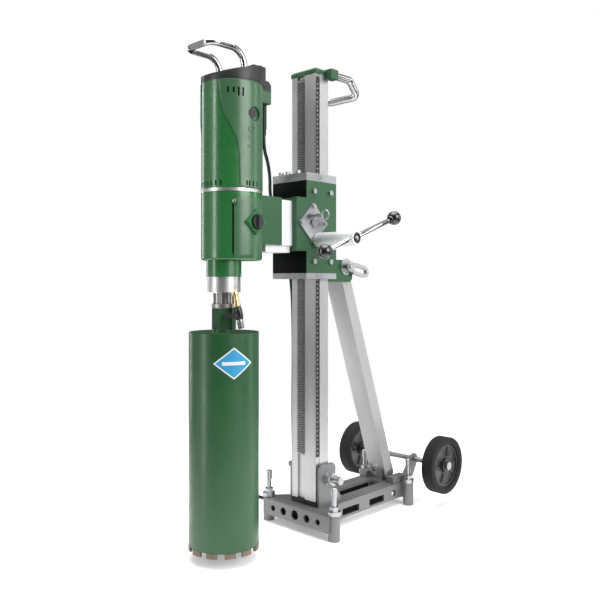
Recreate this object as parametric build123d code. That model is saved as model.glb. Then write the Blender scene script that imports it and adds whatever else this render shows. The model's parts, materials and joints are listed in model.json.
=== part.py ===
"""Core drill rig: a wheeled drill stand with a tilting column, a hand-cranked carriage and an electric
core drill motor that drives a crown bit. Millimetres, +Z up, floor at z = 0, bit side towards -Y.
Every length below is measured from the column's centre line; the whole rig is centred at the end.
"""
from build123d import *
import math
import os

# ---- column and its rails
COLUMN_WIDTH = 70.0
COLUMN_DEPTH = 40.0
COLUMN_BOTTOM = 62.0
COLUMN_TOP = 957.0
COLUMN_WALL = 5.0
COLUMN_CORNER = 2.0
RACK_CENTRE = -7.0
RACK_WIDTH = 20.0
RACK_BOTTOM = 155.0
RACK_BED = 4.5
LADDER_FRONT = -19.0
LADDER_WIDTH = 11.0
LADDER_THICKNESS = 1.4
LADDER_PITCH = 9.3
SLOT_MOUTH = 14.0
SLOT_WIDTH = 24.0
SLOT_LIP = 4.0
SLOT_DEPTH = 6.0
CAP_HEIGHT = 12.0
HANDLE_BAR = 16.0

# ---- base
BEAM_HALF = 95.0
BEAM_FRONT = -47.0
BEAM_REAR = -18.0
GUSSET_REAR = 32.0
BRACKET_REAR = 50.0
BASE_LOW = 17.0
BASE_TOP = 51.0
BASE_WALL = 6.0
RAIL_HALF = 53.0
BASE_REAR = 279.0
BLOCK_TOP = 66.0
SLOT_FRONT = 85.0
SLOT_REAR = 229.0
SLOT_HALF = 17.0
FRONT_SCREW_Y = -30.0
REAR_SCREW_X = 65.0
REAR_SCREW_Y = 267.0
SCREW_TUBE = 24.0
SCREW_TUBE_TOP = 52.0
SCREW_ROD = 10.0
SCREW_TOP = 107.5
SCREW_HEAD = 13.0
HEAD_HEIGHT = 19.5
LOCK_FLANGE = 27.0
FLANGE_HEIGHT = 8.0
NUT_HEIGHT = 9.0
NUT_FLATS = 17.0
FOOT_HEIGHT = 10.7
TILT_Y = 10.0
TILT_Z = 108.0
TILT_BOLT = 16.0
BRACKET_PLATE = 6.0
BRACKET_TOP = 138.0

# ---- strut and its clamp
STRUT_FOOT_Y = 250.0
STRUT_FOOT_Z = 71.0
STRUT_HEAD_Y = 82.0
STRUT_HEAD_Z = 554.0
STRUT_WIDTH = 47.0
STRUT_DEPTH = 29.0
STRUT_WALL = 4.0
STRUT_BOLT = 12.0
CLAMP_LOW = 521.0
CLAMP_HIGH = 569.0
CLAMP_REAR = 105.0
CLAMP_CHEEK = 5.8
CLAMP_FLOAT = 7.0
LEVER_DROP = 12.0

# ---- wheels
WHEEL_Y = 320.0
WHEEL_Z = 93.5
WHEEL_X = 124.0
WHEEL_DIAMETER = 130.0
WHEEL_WIDTH = 28.0
RIM_DIAMETER = 98.0
AXLE = 12.0

# ---- carriage
CARRIAGE_HALF = 49.0
CARRIAGE_FRONT = -62.0
CARRIAGE_REAR = 29.0
CARRIAGE_LOW = 527.0
CARRIAGE_HIGH = 744.0
END_PLATE_LOW = 12.0
END_PLATE_HIGH = 16.0
GEAR_CASE_LOW = 584.0
GEAR_CASE_HIGH = 692.0
GEAR_CASE_FRONT = -91.0
GEAR_CASE_WEB = 6.0
PINION_Z = 641.0
PINION_TEETH = 32
CRANK_TEETH = 16
FEED_MODULE = 1.5
PITCH_LINE = -22.0
CRANK_ANGLE = math.degrees(math.atan2(-34.0, 12.0))
PINION_SHAFT = 16.0
CRANK_SHAFT = 14.0
CRANK_TUBE = 29.0
CRANK_TUBE_START = 55.3
CRANK_TUBE_END = 158.0
BAR_X = 147.0
BAR = 10.0
BAR_BALL = 29.0
BAR_REAR_ARM = 143.0
BAR_FRONT_ARM = 87.0
BAR_RISE = 19.5
SPACER_FRONT = -119.0

# ---- motor
MOTOR_Y = -219.0
MOTOR_DIAMETER = 116.0
MOTOR_WALL = 4.0
GEARBOX_LOW = 562.0
BAND_LOW = 689.0
BAND_HIGH = 695.0
MOTOR_HIGH = 895.0
MOTOR_CAP_HIGH = 908.0
HOOD_HIGH = 928.0
SPINDLE_Y = -238.0
NOSE_DIAMETER = 66.0
NOSE_LOW = 531.0
COLLAR_DIAMETER = 62.6
COLLAR_LOW = 502.0
SPINDLE = 24.0
FLANGE_DIAMETER = 47.0
FLANGE_LOW = 473.0
FLANGE_HIGH = 480.0
HEX_FLATS = 40.0
HEX_LOW = 432.0
BRUSH_Z = 835.0
LOOP_HALF = 36.0
LOOP_BAR = 12.0
LOOP_REACH = 80.0
LOOP_TOP = 956.0
LOOP_BEND = 30.0
LOOP_CORNER = 18.0

# ---- motor gears: module, teeth and faces
FAST_MODULE = 1.25
SLOW_MODULE = 1.5
ARMATURE_TEETH = 10
IDLER_BIG_TEETH = 30
IDLER_SMALL_TEETH = 12
SPINDLE_TEETH = 32

# ---- bit
BIT_DIAMETER = 132.0
BIT_WALL = 4.0
BIT_HIGH = 427.0
BIT_LOW = 29.5
BIT_ROOF = 6.0
SEGMENTS = 12
SEGMENT_LENGTH = 21.0
SEGMENT_HEIGHT = 9.5
SEGMENT_STAND = 0.6

# ---- cord: diameter, and the points its line turns at
CORD = 7.0
UPPER_ROUTE = [
    (12, -146, 811), (12, -146, 784), (-10, -114, 764), (-35, -84, 736), (-54, -67, 711), (-61, -50, 672),
    (-64, -26, 624), (-65, 0, 568), (-65, 11, 505), (-64, 13, 440), (-64, 14, 360), (-65, 14, 280), (-62, 11, 210),
    (-60, 10, 150), (-60, 10, 126),
]
LOWER_ROUTE = [
    (-60, 10, 116), (-61, 16, 92), (-66, 36, 72), (-72, 58, 54), (-79, 68, 31), (-94, 72, 9), (-122, 66, 3.7),
    (-172, 57, 3.7), (-231, 56, 3.7),
]
COIL_CENTRE = (-256.0, 9.0)
COIL_OUTER = 101.0
COIL_INNER = 59.0
COIL_HEIGHT = 21.6
PLUG_LENGTH = 44.0
PLUG = 30.0

# ---- named clearances
RUNNING = 0.05
SEAT = 0.02
SLIDE_GAP = 0.1
SIDE_GAP = 1.5
TOOTH_PLAY = 0.12
PRESSURE = math.radians(25.0)
ADDENDUM = 0.8
DEDENDUM = 1.1

# ---- worked out from the above
PINION_RADIUS = FEED_MODULE * PINION_TEETH / 2
CRANK_RADIUS = FEED_MODULE * CRANK_TEETH / 2
PINION_Y = PITCH_LINE - PINION_RADIUS
CRANK_Y = PINION_Y + (PINION_RADIUS + CRANK_RADIUS) * math.cos(math.radians(CRANK_ANGLE))
CRANK_Z = PINION_Z + (PINION_RADIUS + CRANK_RADIUS) * math.sin(math.radians(CRANK_ANGLE))
CHANNEL_HALF = COLUMN_WIDTH / 2 + SIDE_GAP
COLUMN_FRONT = -COLUMN_DEPTH / 2
COLUMN_REAR = COLUMN_DEPTH / 2
BRACKET_INNER = COLUMN_WIDTH / 2 + 1.3
BRACKET_OUTER = BRACKET_INNER + BRACKET_PLATE
CASTING_LOW = CARRIAGE_LOW + END_PLATE_LOW
CASTING_HIGH = CARRIAGE_HIGH - END_PLATE_HIGH
STRUT_RUN = math.hypot(STRUT_FOOT_Y - STRUT_HEAD_Y, STRUT_HEAD_Z - STRUT_FOOT_Z)
STRUT_LEAN = math.degrees(math.atan2(STRUT_FOOT_Y - STRUT_HEAD_Y, STRUT_HEAD_Z - STRUT_FOOT_Z))
CHEEK_INNER = STRUT_WIDTH / 2 + 0.7
CHEEK_OUTER = CHEEK_INNER + CLAMP_CHEEK
MOTOR_RADIUS = MOTOR_DIAMETER / 2


def idler_place():
    """The idler's plan position: it meshes with the armature's pinion and with the spindle's gear."""
    to_armature = FAST_MODULE * (ARMATURE_TEETH + IDLER_BIG_TEETH) / 2
    to_spindle = SLOW_MODULE * (IDLER_SMALL_TEETH + SPINDLE_TEETH) / 2
    apart = MOTOR_Y - SPINDLE_Y
    along = (to_spindle ** 2 - to_armature ** 2 + apart ** 2) / (2 * apart)
    return math.sqrt(to_spindle ** 2 - along ** 2), SPINDLE_Y + along


IDLER_X, IDLER_Y = idler_place()


# ---------------------------------------------------------------- shapes that repeat
def block(x, y, z):
    """A box between three pairs of limits."""
    middle = Pos((x[0] + x[1]) / 2, (y[0] + y[1]) / 2, (z[0] + z[1]) / 2)
    return middle * Box(x[1] - x[0], y[1] - y[0], z[1] - z[0])


def rod_x(radius, y, z, span):
    """A cylinder along X."""
    return Pos((span[0] + span[1]) / 2, y, z) * Rot(0, 90, 0) * Cylinder(radius, span[1] - span[0])


def rod_y(radius, x, z, span):
    """A cylinder along Y."""
    return Pos(x, (span[0] + span[1]) / 2, z) * Rot(90, 0, 0) * Cylinder(radius, span[1] - span[0])


def rod_z(radius, x, y, span):
    """A cylinder along Z."""
    return Pos(x, y, (span[0] + span[1]) / 2) * Cylinder(radius, span[1] - span[0])


def tube_z(outer, inner, x, y, span):
    """A ring or tube along Z."""
    return rod_z(outer, x, y, span) - rod_z(inner, x, y, (span[0] - 1, span[1] + 1))


def hex_z(flats, x, y, span):
    """A hexagonal prism along Z."""
    outline = RegularPolygon(flats / 2, 6, major_radius=False)
    return Pos(x, y, span[0]) * extrude(outline, span[1] - span[0])


def hex_x(flats, y, z, span):
    """A hexagonal prism along X."""
    outline = RegularPolygon(flats / 2, 6, major_radius=False)
    return Pos(span[0], y, z) * Rot(0, 90, 0) * extrude(outline, span[1] - span[0])


def together(pieces):
    """Separate solids as one node."""
    return Part() + pieces


def rounded_line(points, reaches):
    """Straight runs joined by arcs; each reach is how far before and after its corner the arc begins."""
    points = [Vector(*point) for point in points]
    edges = []
    start = points[0]
    for before, here, after, reach in zip(points, points[1:], points[2:], reaches):
        back = (before - here).normalized()
        arc_start = here + back * reach
        arc_end = here + (after - here).normalized() * reach
        edges += [Line(start, arc_start), TangentArc(arc_start, arc_end, tangent=-back)]
        start = arc_end
    edges.append(Line(start, points[-1]))
    return Wire([edge.edge() for edge in edges])


def round_bar(line, start, toward, diameter):
    """A round bar along a line that leaves the point start towards another."""
    here = Vector(*start)
    return sweep(Plane(origin=here, z_dir=Vector(*toward) - here) * Circle(diameter / 2), path=line)


def bent_bar(points, bends, diameter):
    """A round bar along straight runs, with a bend radius at each corner."""
    reaches = []
    for before, here, after, bend in zip(points, points[1:], points[2:], bends):
        turn = (Vector(*here) - Vector(*before)).get_angle(Vector(*after) - Vector(*here))
        reaches.append(bend * math.tan(math.radians(turn) / 2))
    return round_bar(rounded_line(points, reaches), points[0], points[1], diameter)


def gear(module, teeth, phase, width):
    """An involute spur gear on +Z with one tooth centred at the angle phase, in radians."""
    pitch = module * teeth / 2
    ground = pitch * math.cos(PRESSURE)
    tip = pitch + ADDENDUM * module
    root = pitch - DEDENDUM * module
    half = (math.pi * module / 2 - TOOTH_PLAY) / 2 / pitch
    start = max(root, ground)

    def spread(radius):
        turn = math.acos(min(1.0, ground / radius))
        return half + math.tan(PRESSURE) - PRESSURE - (math.tan(turn) - turn)

    rises = [start + (tip - start) * step / 4 for step in range(5)]
    points = []
    for tooth in range(teeth):
        centre = phase + 2 * math.pi * tooth / teeth
        left = [(root, centre - spread(start))] if root < start else []
        left += [(radius, centre - spread(radius)) for radius in rises]
        right = [(radius, 2 * centre - angle) for radius, angle in reversed(left)]
        points += [(radius * math.cos(angle), radius * math.sin(angle)) for radius, angle in left + right]
    return extrude(make_face(Polyline(*points, close=True)), width)


def mating_phase(phase, teeth, ratio, bearing, mate_teeth):
    """The phase of a gear that meshes with another one in the direction bearing; ratio is their radii's."""
    pitch = 2 * math.pi / teeth
    past = ((bearing - phase) / pitch) % 1.0
    return bearing + math.pi + past * pitch * ratio + math.pi / mate_teeth


def across(x, y, z):
    """The plane that looks along +X, with its own X along Y and its own Y along Z."""
    return Plane(origin=(x, y, z), x_dir=(0, 1, 0), z_dir=(1, 0, 0))


# ---------------------------------------------------------------- base
def screw_places():
    """The plan positions of the four levelling screws."""
    return {
        "front_left": (-BEAM_HALF, FRONT_SCREW_Y),
        "front_right": (BEAM_HALF, FRONT_SCREW_Y),
        "rear_left": (-REAR_SCREW_X, REAR_SCREW_Y),
        "rear_right": (REAR_SCREW_X, REAR_SCREW_Y),
    }


def base_frame():
    """The T-shaped hollow base with its screw tubes, anchor slot, strut lug and axle brackets."""
    inner = BASE_TOP - BASE_WALL
    half = [(0, BEAM_FRONT), (BEAM_HALF, BEAM_FRONT), (BEAM_HALF, BEAM_REAR), (RAIL_HALF, GUSSET_REAR),
            (RAIL_HALF, BASE_REAR), (0, BASE_REAR)]
    outline = make_face(Polyline(*half, *[(-x, y) for x, y in reversed(half[1:-1])], close=True))
    shape = Pos(0, 0, BASE_LOW) * extrude(outline, BASE_TOP - BASE_LOW)
    block_half = REAR_SCREW_X - LOCK_FLANGE / 2 - 1
    shape += block((-block_half, block_half), (SLOT_REAR, BASE_REAR), (BASE_TOP, BLOCK_TOP))
    gap_half = STRUT_WIDTH / 2 + 6.5
    shape -= block((-gap_half, gap_half), (SLOT_REAR - 1, BASE_REAR + 1), (BASE_TOP, BLOCK_TOP + 1))
    hollow = offset(outline, amount=-BASE_WALL)
    shape -= Pos(0, 0, BASE_LOW - 1) * extrude(hollow, inner - BASE_LOW + 1)
    for side in (-1, 1):
        low, high = sorted((side * (RAIL_HALF - 1), side * REAR_SCREW_X))
        shape += block((low, high), (REAR_SCREW_Y - 9, REAR_SCREW_Y + 9), (BASE_LOW, BASE_TOP))
    for x, y in screw_places().values():
        shape += rod_z(SCREW_TUBE / 2, x, y, (0, SCREW_TUBE_TOP))
    for x, y in screw_places().values():
        shape -= rod_z(SCREW_ROD / 2 + RUNNING, x, y, (-1, SCREW_TUBE_TOP + 1))
    for x, radius in ((0, 10), (-34, 8.2), (34, 8.2), (-65, 6.2), (65, 6.2)):
        shape -= rod_y(radius, x, 34, (BEAM_FRONT - 1, BEAM_FRONT + BASE_WALL + 1))
    shape -= block((-SLOT_HALF, SLOT_HALF), (SLOT_FRONT, SLOT_REAR), (BASE_LOW, BASE_TOP + 1))
    for start, end in ((45, 101), (137, 190)):
        shape -= block((-RAIL_HALF - 1, RAIL_HALF + 1), (start, end), (22, 37))
    shape -= rod_x(7.5, 227, 32, (-RAIL_HALF - 1, RAIL_HALF + 1))
    shape += block((-9, 9), (STRUT_FOOT_Y - 10, STRUT_FOOT_Y + 10), (inner, STRUT_FOOT_Z))
    shape += rod_x(10, STRUT_FOOT_Y, STRUT_FOOT_Z, (-9, 9))
    shape -= rod_x(STRUT_BOLT / 2 + SEAT, STRUT_FOOT_Y, STRUT_FOOT_Z, (-12, 12))
    for side in (-1, 1):
        outline = Polyline((BASE_REAR - 1, 25), (BASE_REAR + 16, 25), (WHEEL_Y + 11, WHEEL_Z - 8), (WHEEL_Y, WHEEL_Z + 13),
                           (WHEEL_Y - 10, WHEEL_Z + 10), (BASE_REAR - 1, BLOCK_TOP), close=True)
        arm = extrude(across(40, 0, 0) * make_face(outline), 6)
        arm += rod_x(13, WHEEL_Y, WHEEL_Z, (40, 46))
        arm -= rod_x(AXLE / 2 + SEAT, WHEEL_Y, WHEEL_Z, (39, 47))
        shape += arm if side > 0 else mirror(arm, Plane.YZ)
    return shape


def hinge_brackets():
    """The two plates that carry the column's tilt bolt, and the cord's clip on the left one."""
    outline = Polyline((BRACKET_REAR, BASE_TOP), (-17, BASE_TOP), (-17, BRACKET_TOP - 8), (-9, BRACKET_TOP),
                       (27, BRACKET_TOP), (35, BRACKET_TOP - 8), (35, 84), (BRACKET_REAR, 66), close=True)
    plate = extrude(across(BRACKET_INNER, 0, 0) * make_face(outline), BRACKET_PLATE)
    plate -= rod_x(TILT_BOLT / 2 + SEAT, TILT_Y, TILT_Z, (BRACKET_INNER - 1, BRACKET_OUTER + 1))
    clip = block((-67, -53), (TILT_Y - 8, TILT_Y + 8), (116, 126))
    clip += block((-56, -BRACKET_OUTER), (TILT_Y - 8, TILT_Y + 8), (122, 126))
    clip -= rod_z(CORD / 2 + SEAT, -60, TILT_Y, (100, 130))
    return plate + mirror(plate, Plane.YZ) + clip


def tilt_bolt():
    """The bolt the column tilts about: hexagon head, washers and nut."""
    shape = rod_x(TILT_BOLT / 2, TILT_Y, TILT_Z, (-50, 79))
    shape += hex_x(24, TILT_Y, TILT_Z, (-52, -45))
    shape += rod_x(13.5, TILT_Y, TILT_Z, (-45, -BRACKET_OUTER))
    shape += rod_x(13.5, TILT_Y, TILT_Z, (BRACKET_OUTER, 45.3))
    shape += hex_x(24, TILT_Y, TILT_Z, (45.3, 59))
    return shape


def lock_nuts():
    """The flange nuts that lock the levelling screws on top of their tubes."""
    nuts = []
    top = SCREW_TUBE_TOP + FLANGE_HEIGHT
    for x, y in screw_places().values():
        nut = rod_z(LOCK_FLANGE / 2, x, y, (SCREW_TUBE_TOP, top)) + hex_z(NUT_FLATS, x, y, (top, top + NUT_HEIGHT))
        nuts.append(nut - rod_z(SCREW_ROD / 2 + RUNNING, x, y, (SCREW_TUBE_TOP - 1, top + NUT_HEIGHT + 1)))
    return together(nuts)


def level_screw(x, y):
    """One levelling screw: a plain rod with a round head, its tip inside the tube."""
    shape = rod_z(SCREW_ROD / 2, x, y, (1, SCREW_TOP))
    head = rod_z(SCREW_HEAD / 2, x, y, (SCREW_TOP - HEAD_HEIGHT, SCREW_TOP))
    return shape + chamfer(head.edges().filter_by(GeomType.CIRCLE), 1)


def strut_pin():
    """The pin at the strut's foot, with a head outside each wall of the strut."""
    half = STRUT_WIDTH / 2
    shape = rod_x(STRUT_BOLT / 2, STRUT_FOOT_Y, STRUT_FOOT_Z, (-half - 1, half + 1))
    shape += rod_x(9.5, STRUT_FOOT_Y, STRUT_FOOT_Z, (half + 0.3, half + 4))
    return shape + rod_x(9.5, STRUT_FOOT_Y, STRUT_FOOT_Z, (-half - 4, -half - 0.3))


def axle():
    """The wheels' axle with its end caps and the collars that keep the wheels in place."""
    end = WHEEL_X + WHEEL_WIDTH / 2
    shape = rod_x(AXLE / 2, WHEEL_Y, WHEEL_Z, (-end - 2, end + 2))
    for side in (-1, 1):
        low, high = sorted((side * (end + 0.5), side * (end + 5)))
        shape += rod_x(9, WHEEL_Y, WHEEL_Z, (low, high))
        low, high = sorted((side * (WHEEL_X - WHEEL_WIDTH / 2 - 8), side * (WHEEL_X - WHEEL_WIDTH / 2 - 0.5)))
        shape += rod_x(10, WHEEL_Y, WHEEL_Z, (low, high))
    return shape


def rim(side):
    """A wheel's moulded rim: five pockets in each face, a hub and its bore."""
    half = WHEEL_WIDTH / 2
    shape = rod_x(RIM_DIAMETER / 2, 0, 0, (-half + 1, half - 1)) + rod_x(15, 0, 0, (-half, half))
    ring = Circle(RIM_DIAMETER / 2 - 6) - Circle(17)
    for face in (-1, 1):
        for spoke in range(5):
            bar = Rot(0, 0, 72 * spoke) * Pos(RIM_DIAMETER / 4, 0) * Rectangle(RIM_DIAMETER / 2, 13)
            ring -= bar
        pocket = extrude(across(half - 1 - 7 if face > 0 else -half, 0, 0) * ring, 8)
        shape -= pocket
    shape -= rod_x(AXLE / 2 + RUNNING, 0, 0, (-half - 1, half + 1))
    return Pos(side * WHEEL_X, WHEEL_Y, WHEEL_Z) * shape


def tyre(side):
    """A wheel's solid rubber tyre with rounded shoulders."""
    half = WHEEL_WIDTH / 2
    body = rod_x(WHEEL_DIAMETER / 2, 0, 0, (-half, half))
    body = fillet(body.edges().filter_by(GeomType.CIRCLE), 5)
    body -= rod_x(RIM_DIAMETER / 2 + SEAT, 0, 0, (-half - 1, half + 1))
    return Pos(side * WHEEL_X, WHEEL_Y, WHEEL_Z) * body


# ---------------------------------------------------------------- column
def column():
    """The extruded column: hollow, with a bed for the rack, one for the ladder strip and a slot behind."""
    height = COLUMN_TOP - COLUMN_BOTTOM
    outline = RectangleRounded(COLUMN_WIDTH, COLUMN_DEPTH, COLUMN_CORNER)
    inside = COLUMN_WIDTH / 2 - COLUMN_WALL
    front = COLUMN_FRONT + RACK_BED + COLUMN_WALL
    rear = COLUMN_REAR - SLOT_LIP - SLOT_DEPTH - COLUMN_WALL
    outline -= Pos(0, (front + rear) / 2) * Rectangle(2 * inside, rear - front)
    outline -= Pos(RACK_CENTRE, COLUMN_FRONT) * Rectangle(RACK_WIDTH, 2 * RACK_BED)
    outline -= Pos(0, COLUMN_REAR) * Rectangle(SLOT_MOUTH, 2 * SLOT_LIP)
    outline -= Pos(0, COLUMN_REAR - SLOT_LIP - SLOT_DEPTH / 2) * Rectangle(SLOT_WIDTH, SLOT_DEPTH)
    bed = Pos(COLUMN_WIDTH / 2, LADDER_FRONT + LADDER_WIDTH / 2)
    outline -= bed * Rectangle(2, LADDER_WIDTH)
    shape = Pos(0, 0, COLUMN_BOTTOM) * extrude(outline, height)
    return shape - rod_x(TILT_BOLT / 2 + RUNNING, TILT_Y, TILT_Z, (-COLUMN_WIDTH, COLUMN_WIDTH))


def rack():
    """The feed rack, its teeth towards the carriage's pinion."""
    pitch = math.pi * FEED_MODULE
    half = (pitch / 2 - TOOTH_PLAY) / 2
    tip = PITCH_LINE - ADDENDUM * FEED_MODULE
    root = PITCH_LINE + DEDENDUM * FEED_MODULE
    narrow = half - (PITCH_LINE - tip) * math.tan(PRESSURE)
    broad = half + (root - PITCH_LINE) * math.tan(PRESSURE)
    top = COLUMN_TOP - 7
    back = COLUMN_FRONT + RACK_BED
    first = math.ceil((RACK_BOTTOM + pitch - PINION_Z) / pitch)
    last = math.floor((top - pitch - PINION_Z) / pitch)
    points = [(back, top), (back, RACK_BOTTOM), (root, RACK_BOTTOM)]
    for tooth in range(first, last + 1):
        z = PINION_Z + tooth * pitch
        points += [(root, z - broad), (tip, z - narrow), (tip, z + narrow), (root, z + broad)]
    points.append((root, top))
    outline = make_face(Polyline(*points, close=True))
    return extrude(across(RACK_CENTRE - RACK_WIDTH / 2, 0, 0) * outline, RACK_WIDTH)


def ladder_strip():
    """The slotted strip on the column's right side."""
    bed = COLUMN_WIDTH / 2 - 1
    shape = block((bed, bed + LADDER_THICKNESS), (LADDER_FRONT, LADDER_FRONT + LADDER_WIDTH),
                  (RACK_BOTTOM, COLUMN_TOP - 7))
    count = int((COLUMN_TOP - 7 - RACK_BOTTOM - 8) / LADDER_PITCH)
    middle = LADDER_FRONT + LADDER_WIDTH / 2
    slots = [Pos(bed, middle, RACK_BOTTOM + 8 + step * LADDER_PITCH) * Box(8, 6, 3.5) for step in range(count)]
    return shape - slots


def column_foot():
    """The pad under the column, relieved behind so that it clears the base as the column tilts."""
    low = COLUMN_BOTTOM - FOOT_HEIGHT
    half = COLUMN_WIDTH / 2
    shape = block((-half, half), (COLUMN_FRONT, COLUMN_REAR), (low, COLUMN_BOTTOM))
    wedge = Polyline((TILT_Y - 2, low), (COLUMN_REAR, low + 3), (COLUMN_REAR, low - 1), (TILT_Y - 2, low - 1), close=True)
    return shape - extrude(across(-half - 1, 0, 0) * make_face(wedge), COLUMN_WIDTH + 2)


def top_cap():
    """The column's cap with the two ears that hold the carry handle, and its screws."""
    half = COLUMN_WIDTH / 2 + 1
    high = COLUMN_TOP + CAP_HEIGHT
    shape = block((-half, half), (COLUMN_FRONT - 1, COLUMN_REAR + 1), (COLUMN_TOP, high))
    shape = chamfer(shape.edges().group_by(Axis.Z)[-1], 4)
    for side in (-1, 1):
        low, high_x = sorted((side * half, side * (half + 18)))
        shape += block((low, high_x), (8, 30), (COLUMN_TOP - 9, high - 1))
        shape += rod_y(2.5, side * 22, COLUMN_TOP + 5, (COLUMN_FRONT - 3, COLUMN_FRONT))
    return shape


def carry_handle():
    """The bent bar at the column's top."""
    x = COLUMN_WIDTH / 2 + 10
    z = COLUMN_TOP + 1
    points = [(-x, 30, z), (-x, 78, z), (-x, 104, z - 30), (x, 104, z - 30), (x, 78, z), (x, 30, z)]
    return bent_bar(points, [14] * 4, HANDLE_BAR)


# ---------------------------------------------------------------- strut
def along_strut():
    """The strut's own frame: its foot pin at the origin and its head bolt up +Z."""
    return Location((0, STRUT_FOOT_Y, STRUT_FOOT_Z), (STRUT_LEAN, 0, 0))


def strut():
    """The folded channel that holds the column: open behind, its ends rounded about pin and bolt."""
    half = STRUT_WIDTH / 2
    deep = STRUT_DEPTH / 2
    shape = block((-half, half), (-deep, deep), (0, STRUT_RUN))
    shape += rod_x(deep, 0, 0, (-half, half)) + rod_x(deep, 0, STRUT_RUN, (-half, half))
    shape -= block((-half + STRUT_WALL, half - STRUT_WALL), (-deep + STRUT_WALL, deep + 1), (-20, STRUT_RUN + 20))
    shape -= block((-half + STRUT_WALL, half - STRUT_WALL), (-deep - 1, deep + 1), (-20, 26))
    shape -= rod_x(STRUT_BOLT / 2 + RUNNING, 0, 0, (-half - 1, half + 1))
    shape -= rod_x(STRUT_BOLT / 2 + SEAT, 0, STRUT_RUN, (-half - 1, half + 1))
    return along_strut() * shape


def strut_clamp():
    """The casting that runs on the column's rear slot and holds the strut's head between two cheeks."""
    gap = SLIDE_GAP
    key_front = COLUMN_REAR - SLOT_LIP - SLOT_DEPTH + gap
    shape = block((-SLOT_WIDTH / 2 + gap, SLOT_WIDTH / 2 - gap), (key_front, COLUMN_REAR - SLOT_LIP - gap),
                  (CLAMP_LOW, CLAMP_HIGH))
    shape += block((-SLOT_MOUTH / 2 + gap, SLOT_MOUTH / 2 - gap), (key_front, COLUMN_REAR + 1), (CLAMP_LOW, CLAMP_HIGH))
    body = block((-CHEEK_OUTER, CHEEK_OUTER), (COLUMN_REAR + gap, CLAMP_REAR), (CLAMP_LOW, CLAMP_HIGH))
    body = fillet(body.edges().filter_by(Axis.X).group_by(Axis.Y)[-1], 12)
    body -= block((-CHEEK_INNER, CHEEK_INNER), (60, CLAMP_REAR + 1), (CLAMP_LOW - 1, CLAMP_HIGH + 1))
    body -= rod_x(STRUT_BOLT / 2 + CLAMP_FLOAT, STRUT_HEAD_Y, STRUT_HEAD_Z - 2, (-CHEEK_OUTER - 1, CHEEK_OUTER + 1))
    return shape + body


def clamp_bolt():
    """The strut's head bolt, its two broad washers and its nut."""
    y, z = STRUT_HEAD_Y, STRUT_HEAD_Z
    outer = CHEEK_OUTER + 0.3
    shape = rod_x(STRUT_BOLT / 2, y, z, (-outer - 12, outer + 18))
    shape += rod_x(18, y, z, (outer, outer + 2.5)) + rod_x(18, y, z, (-outer - 2.5, -outer))
    return shape + hex_x(19, y, z, (-outer - 10, -outer - 2.5))


def clamp_lever():
    """The clamp's hand lever: a hub on the head bolt and a long finger loop."""
    outer = CHEEK_OUTER + 0.3 + 2.5 + SLIDE_GAP
    y, z = STRUT_HEAD_Y, STRUT_HEAD_Z
    loop = SlotOverall(58, 25) - SlotOverall(42, 10)
    plate = extrude(across(outer + 3, 0, 0) * Pos(36, 0) * loop, 8)
    shape = rod_x(11, y, z, (outer, outer + 13)) + Pos(0, y, z) * Rot(-LEVER_DROP, 0, 0) * plate
    return shape - rod_x(STRUT_BOLT / 2 + RUNNING, y, z, (outer - 5, outer + 20))


# ---------------------------------------------------------------- carriage
def carriage_housing():
    """The carriage's casting: a channel round the column with a deeper gear case in the middle."""
    half = CARRIAGE_HALF
    shape = block((-half, half), (CARRIAGE_FRONT, CARRIAGE_REAR), (CASTING_LOW, CASTING_HIGH))
    shape += block((-half, half), (GEAR_CASE_FRONT, CARRIAGE_REAR), (GEAR_CASE_LOW, GEAR_CASE_HIGH))
    web = PINION_Y - PINION_RADIUS - ADDENDUM * FEED_MODULE - 3
    recess = (GEAR_CASE_LOW - 1, GEAR_CASE_HIGH + 1)
    shape -= block((-CHANNEL_HALF, CHANNEL_HALF), (GEAR_CASE_FRONT - 1, web - GEAR_CASE_WEB), recess)
    shape -= block((-CHANNEL_HALF, CHANNEL_HALF), (-50, CARRIAGE_REAR + 1), (CASTING_LOW - 1, CASTING_HIGH + 1))
    case = (GEAR_CASE_LOW + 6, GEAR_CASE_HIGH - 6)
    shape -= block((-CHANNEL_HALF, CHANNEL_HALF), (web, CARRIAGE_REAR + 1), case)
    shape -= rod_x(PINION_SHAFT / 2 + RUNNING, PINION_Y, PINION_Z, (-half - 1, half + 1))
    shape -= rod_x(CRANK_SHAFT / 2 + RUNNING, CRANK_Y, CRANK_Z, (-half - 1, half + 1))
    shape -= rod_x(4 + RUNNING, *lock_place(), (CHANNEL_HALF - 1, half + 1))
    return shape


def end_plates():
    """The bright plates on the carriage's ends, cut out for the column."""
    plates = []
    for low, high in ((CARRIAGE_LOW, CASTING_LOW), (CASTING_HIGH, CARRIAGE_HIGH)):
        plate = block((-CARRIAGE_HALF, CARRIAGE_HALF), (CARRIAGE_FRONT - 1, CARRIAGE_REAR), (low, high))
        plates.append(plate - block((-CHANNEL_HALF, CHANNEL_HALF), (COLUMN_FRONT - 5, CARRIAGE_REAR + 1),
                                    (low - 1, high + 1)))
    return together(plates)


def guide_shoes():
    """The plastic shoes between carriage and column: front pads and side shoes that reach round behind."""
    shoes = []
    gap = RUNNING
    wall = COLUMN_WIDTH / 2
    front_right = RACK_CENTRE + RACK_WIDTH / 2 + 4
    for low, high in ((545, 578), (698, 724)):
        shoes.append(block((front_right, wall - 2), (-50, COLUMN_FRONT - gap), (low, high)))
        shoes.append(block((-wall + 2, RACK_CENTRE - RACK_WIDTH / 2 - 2), (-50, COLUMN_FRONT - gap), (low, high)))
        for side in (-1, 1):
            shoe = block((wall + gap, CHANNEL_HALF), (-4, COLUMN_REAR + 8), (low, high))
            shoe += block((wall - 4, CHANNEL_HALF), (COLUMN_REAR + gap, COLUMN_REAR + 8), (low, high))
            shoes.append(shoe if side > 0 else mirror(shoe, Plane.YZ))
    return together(shoes)


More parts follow.
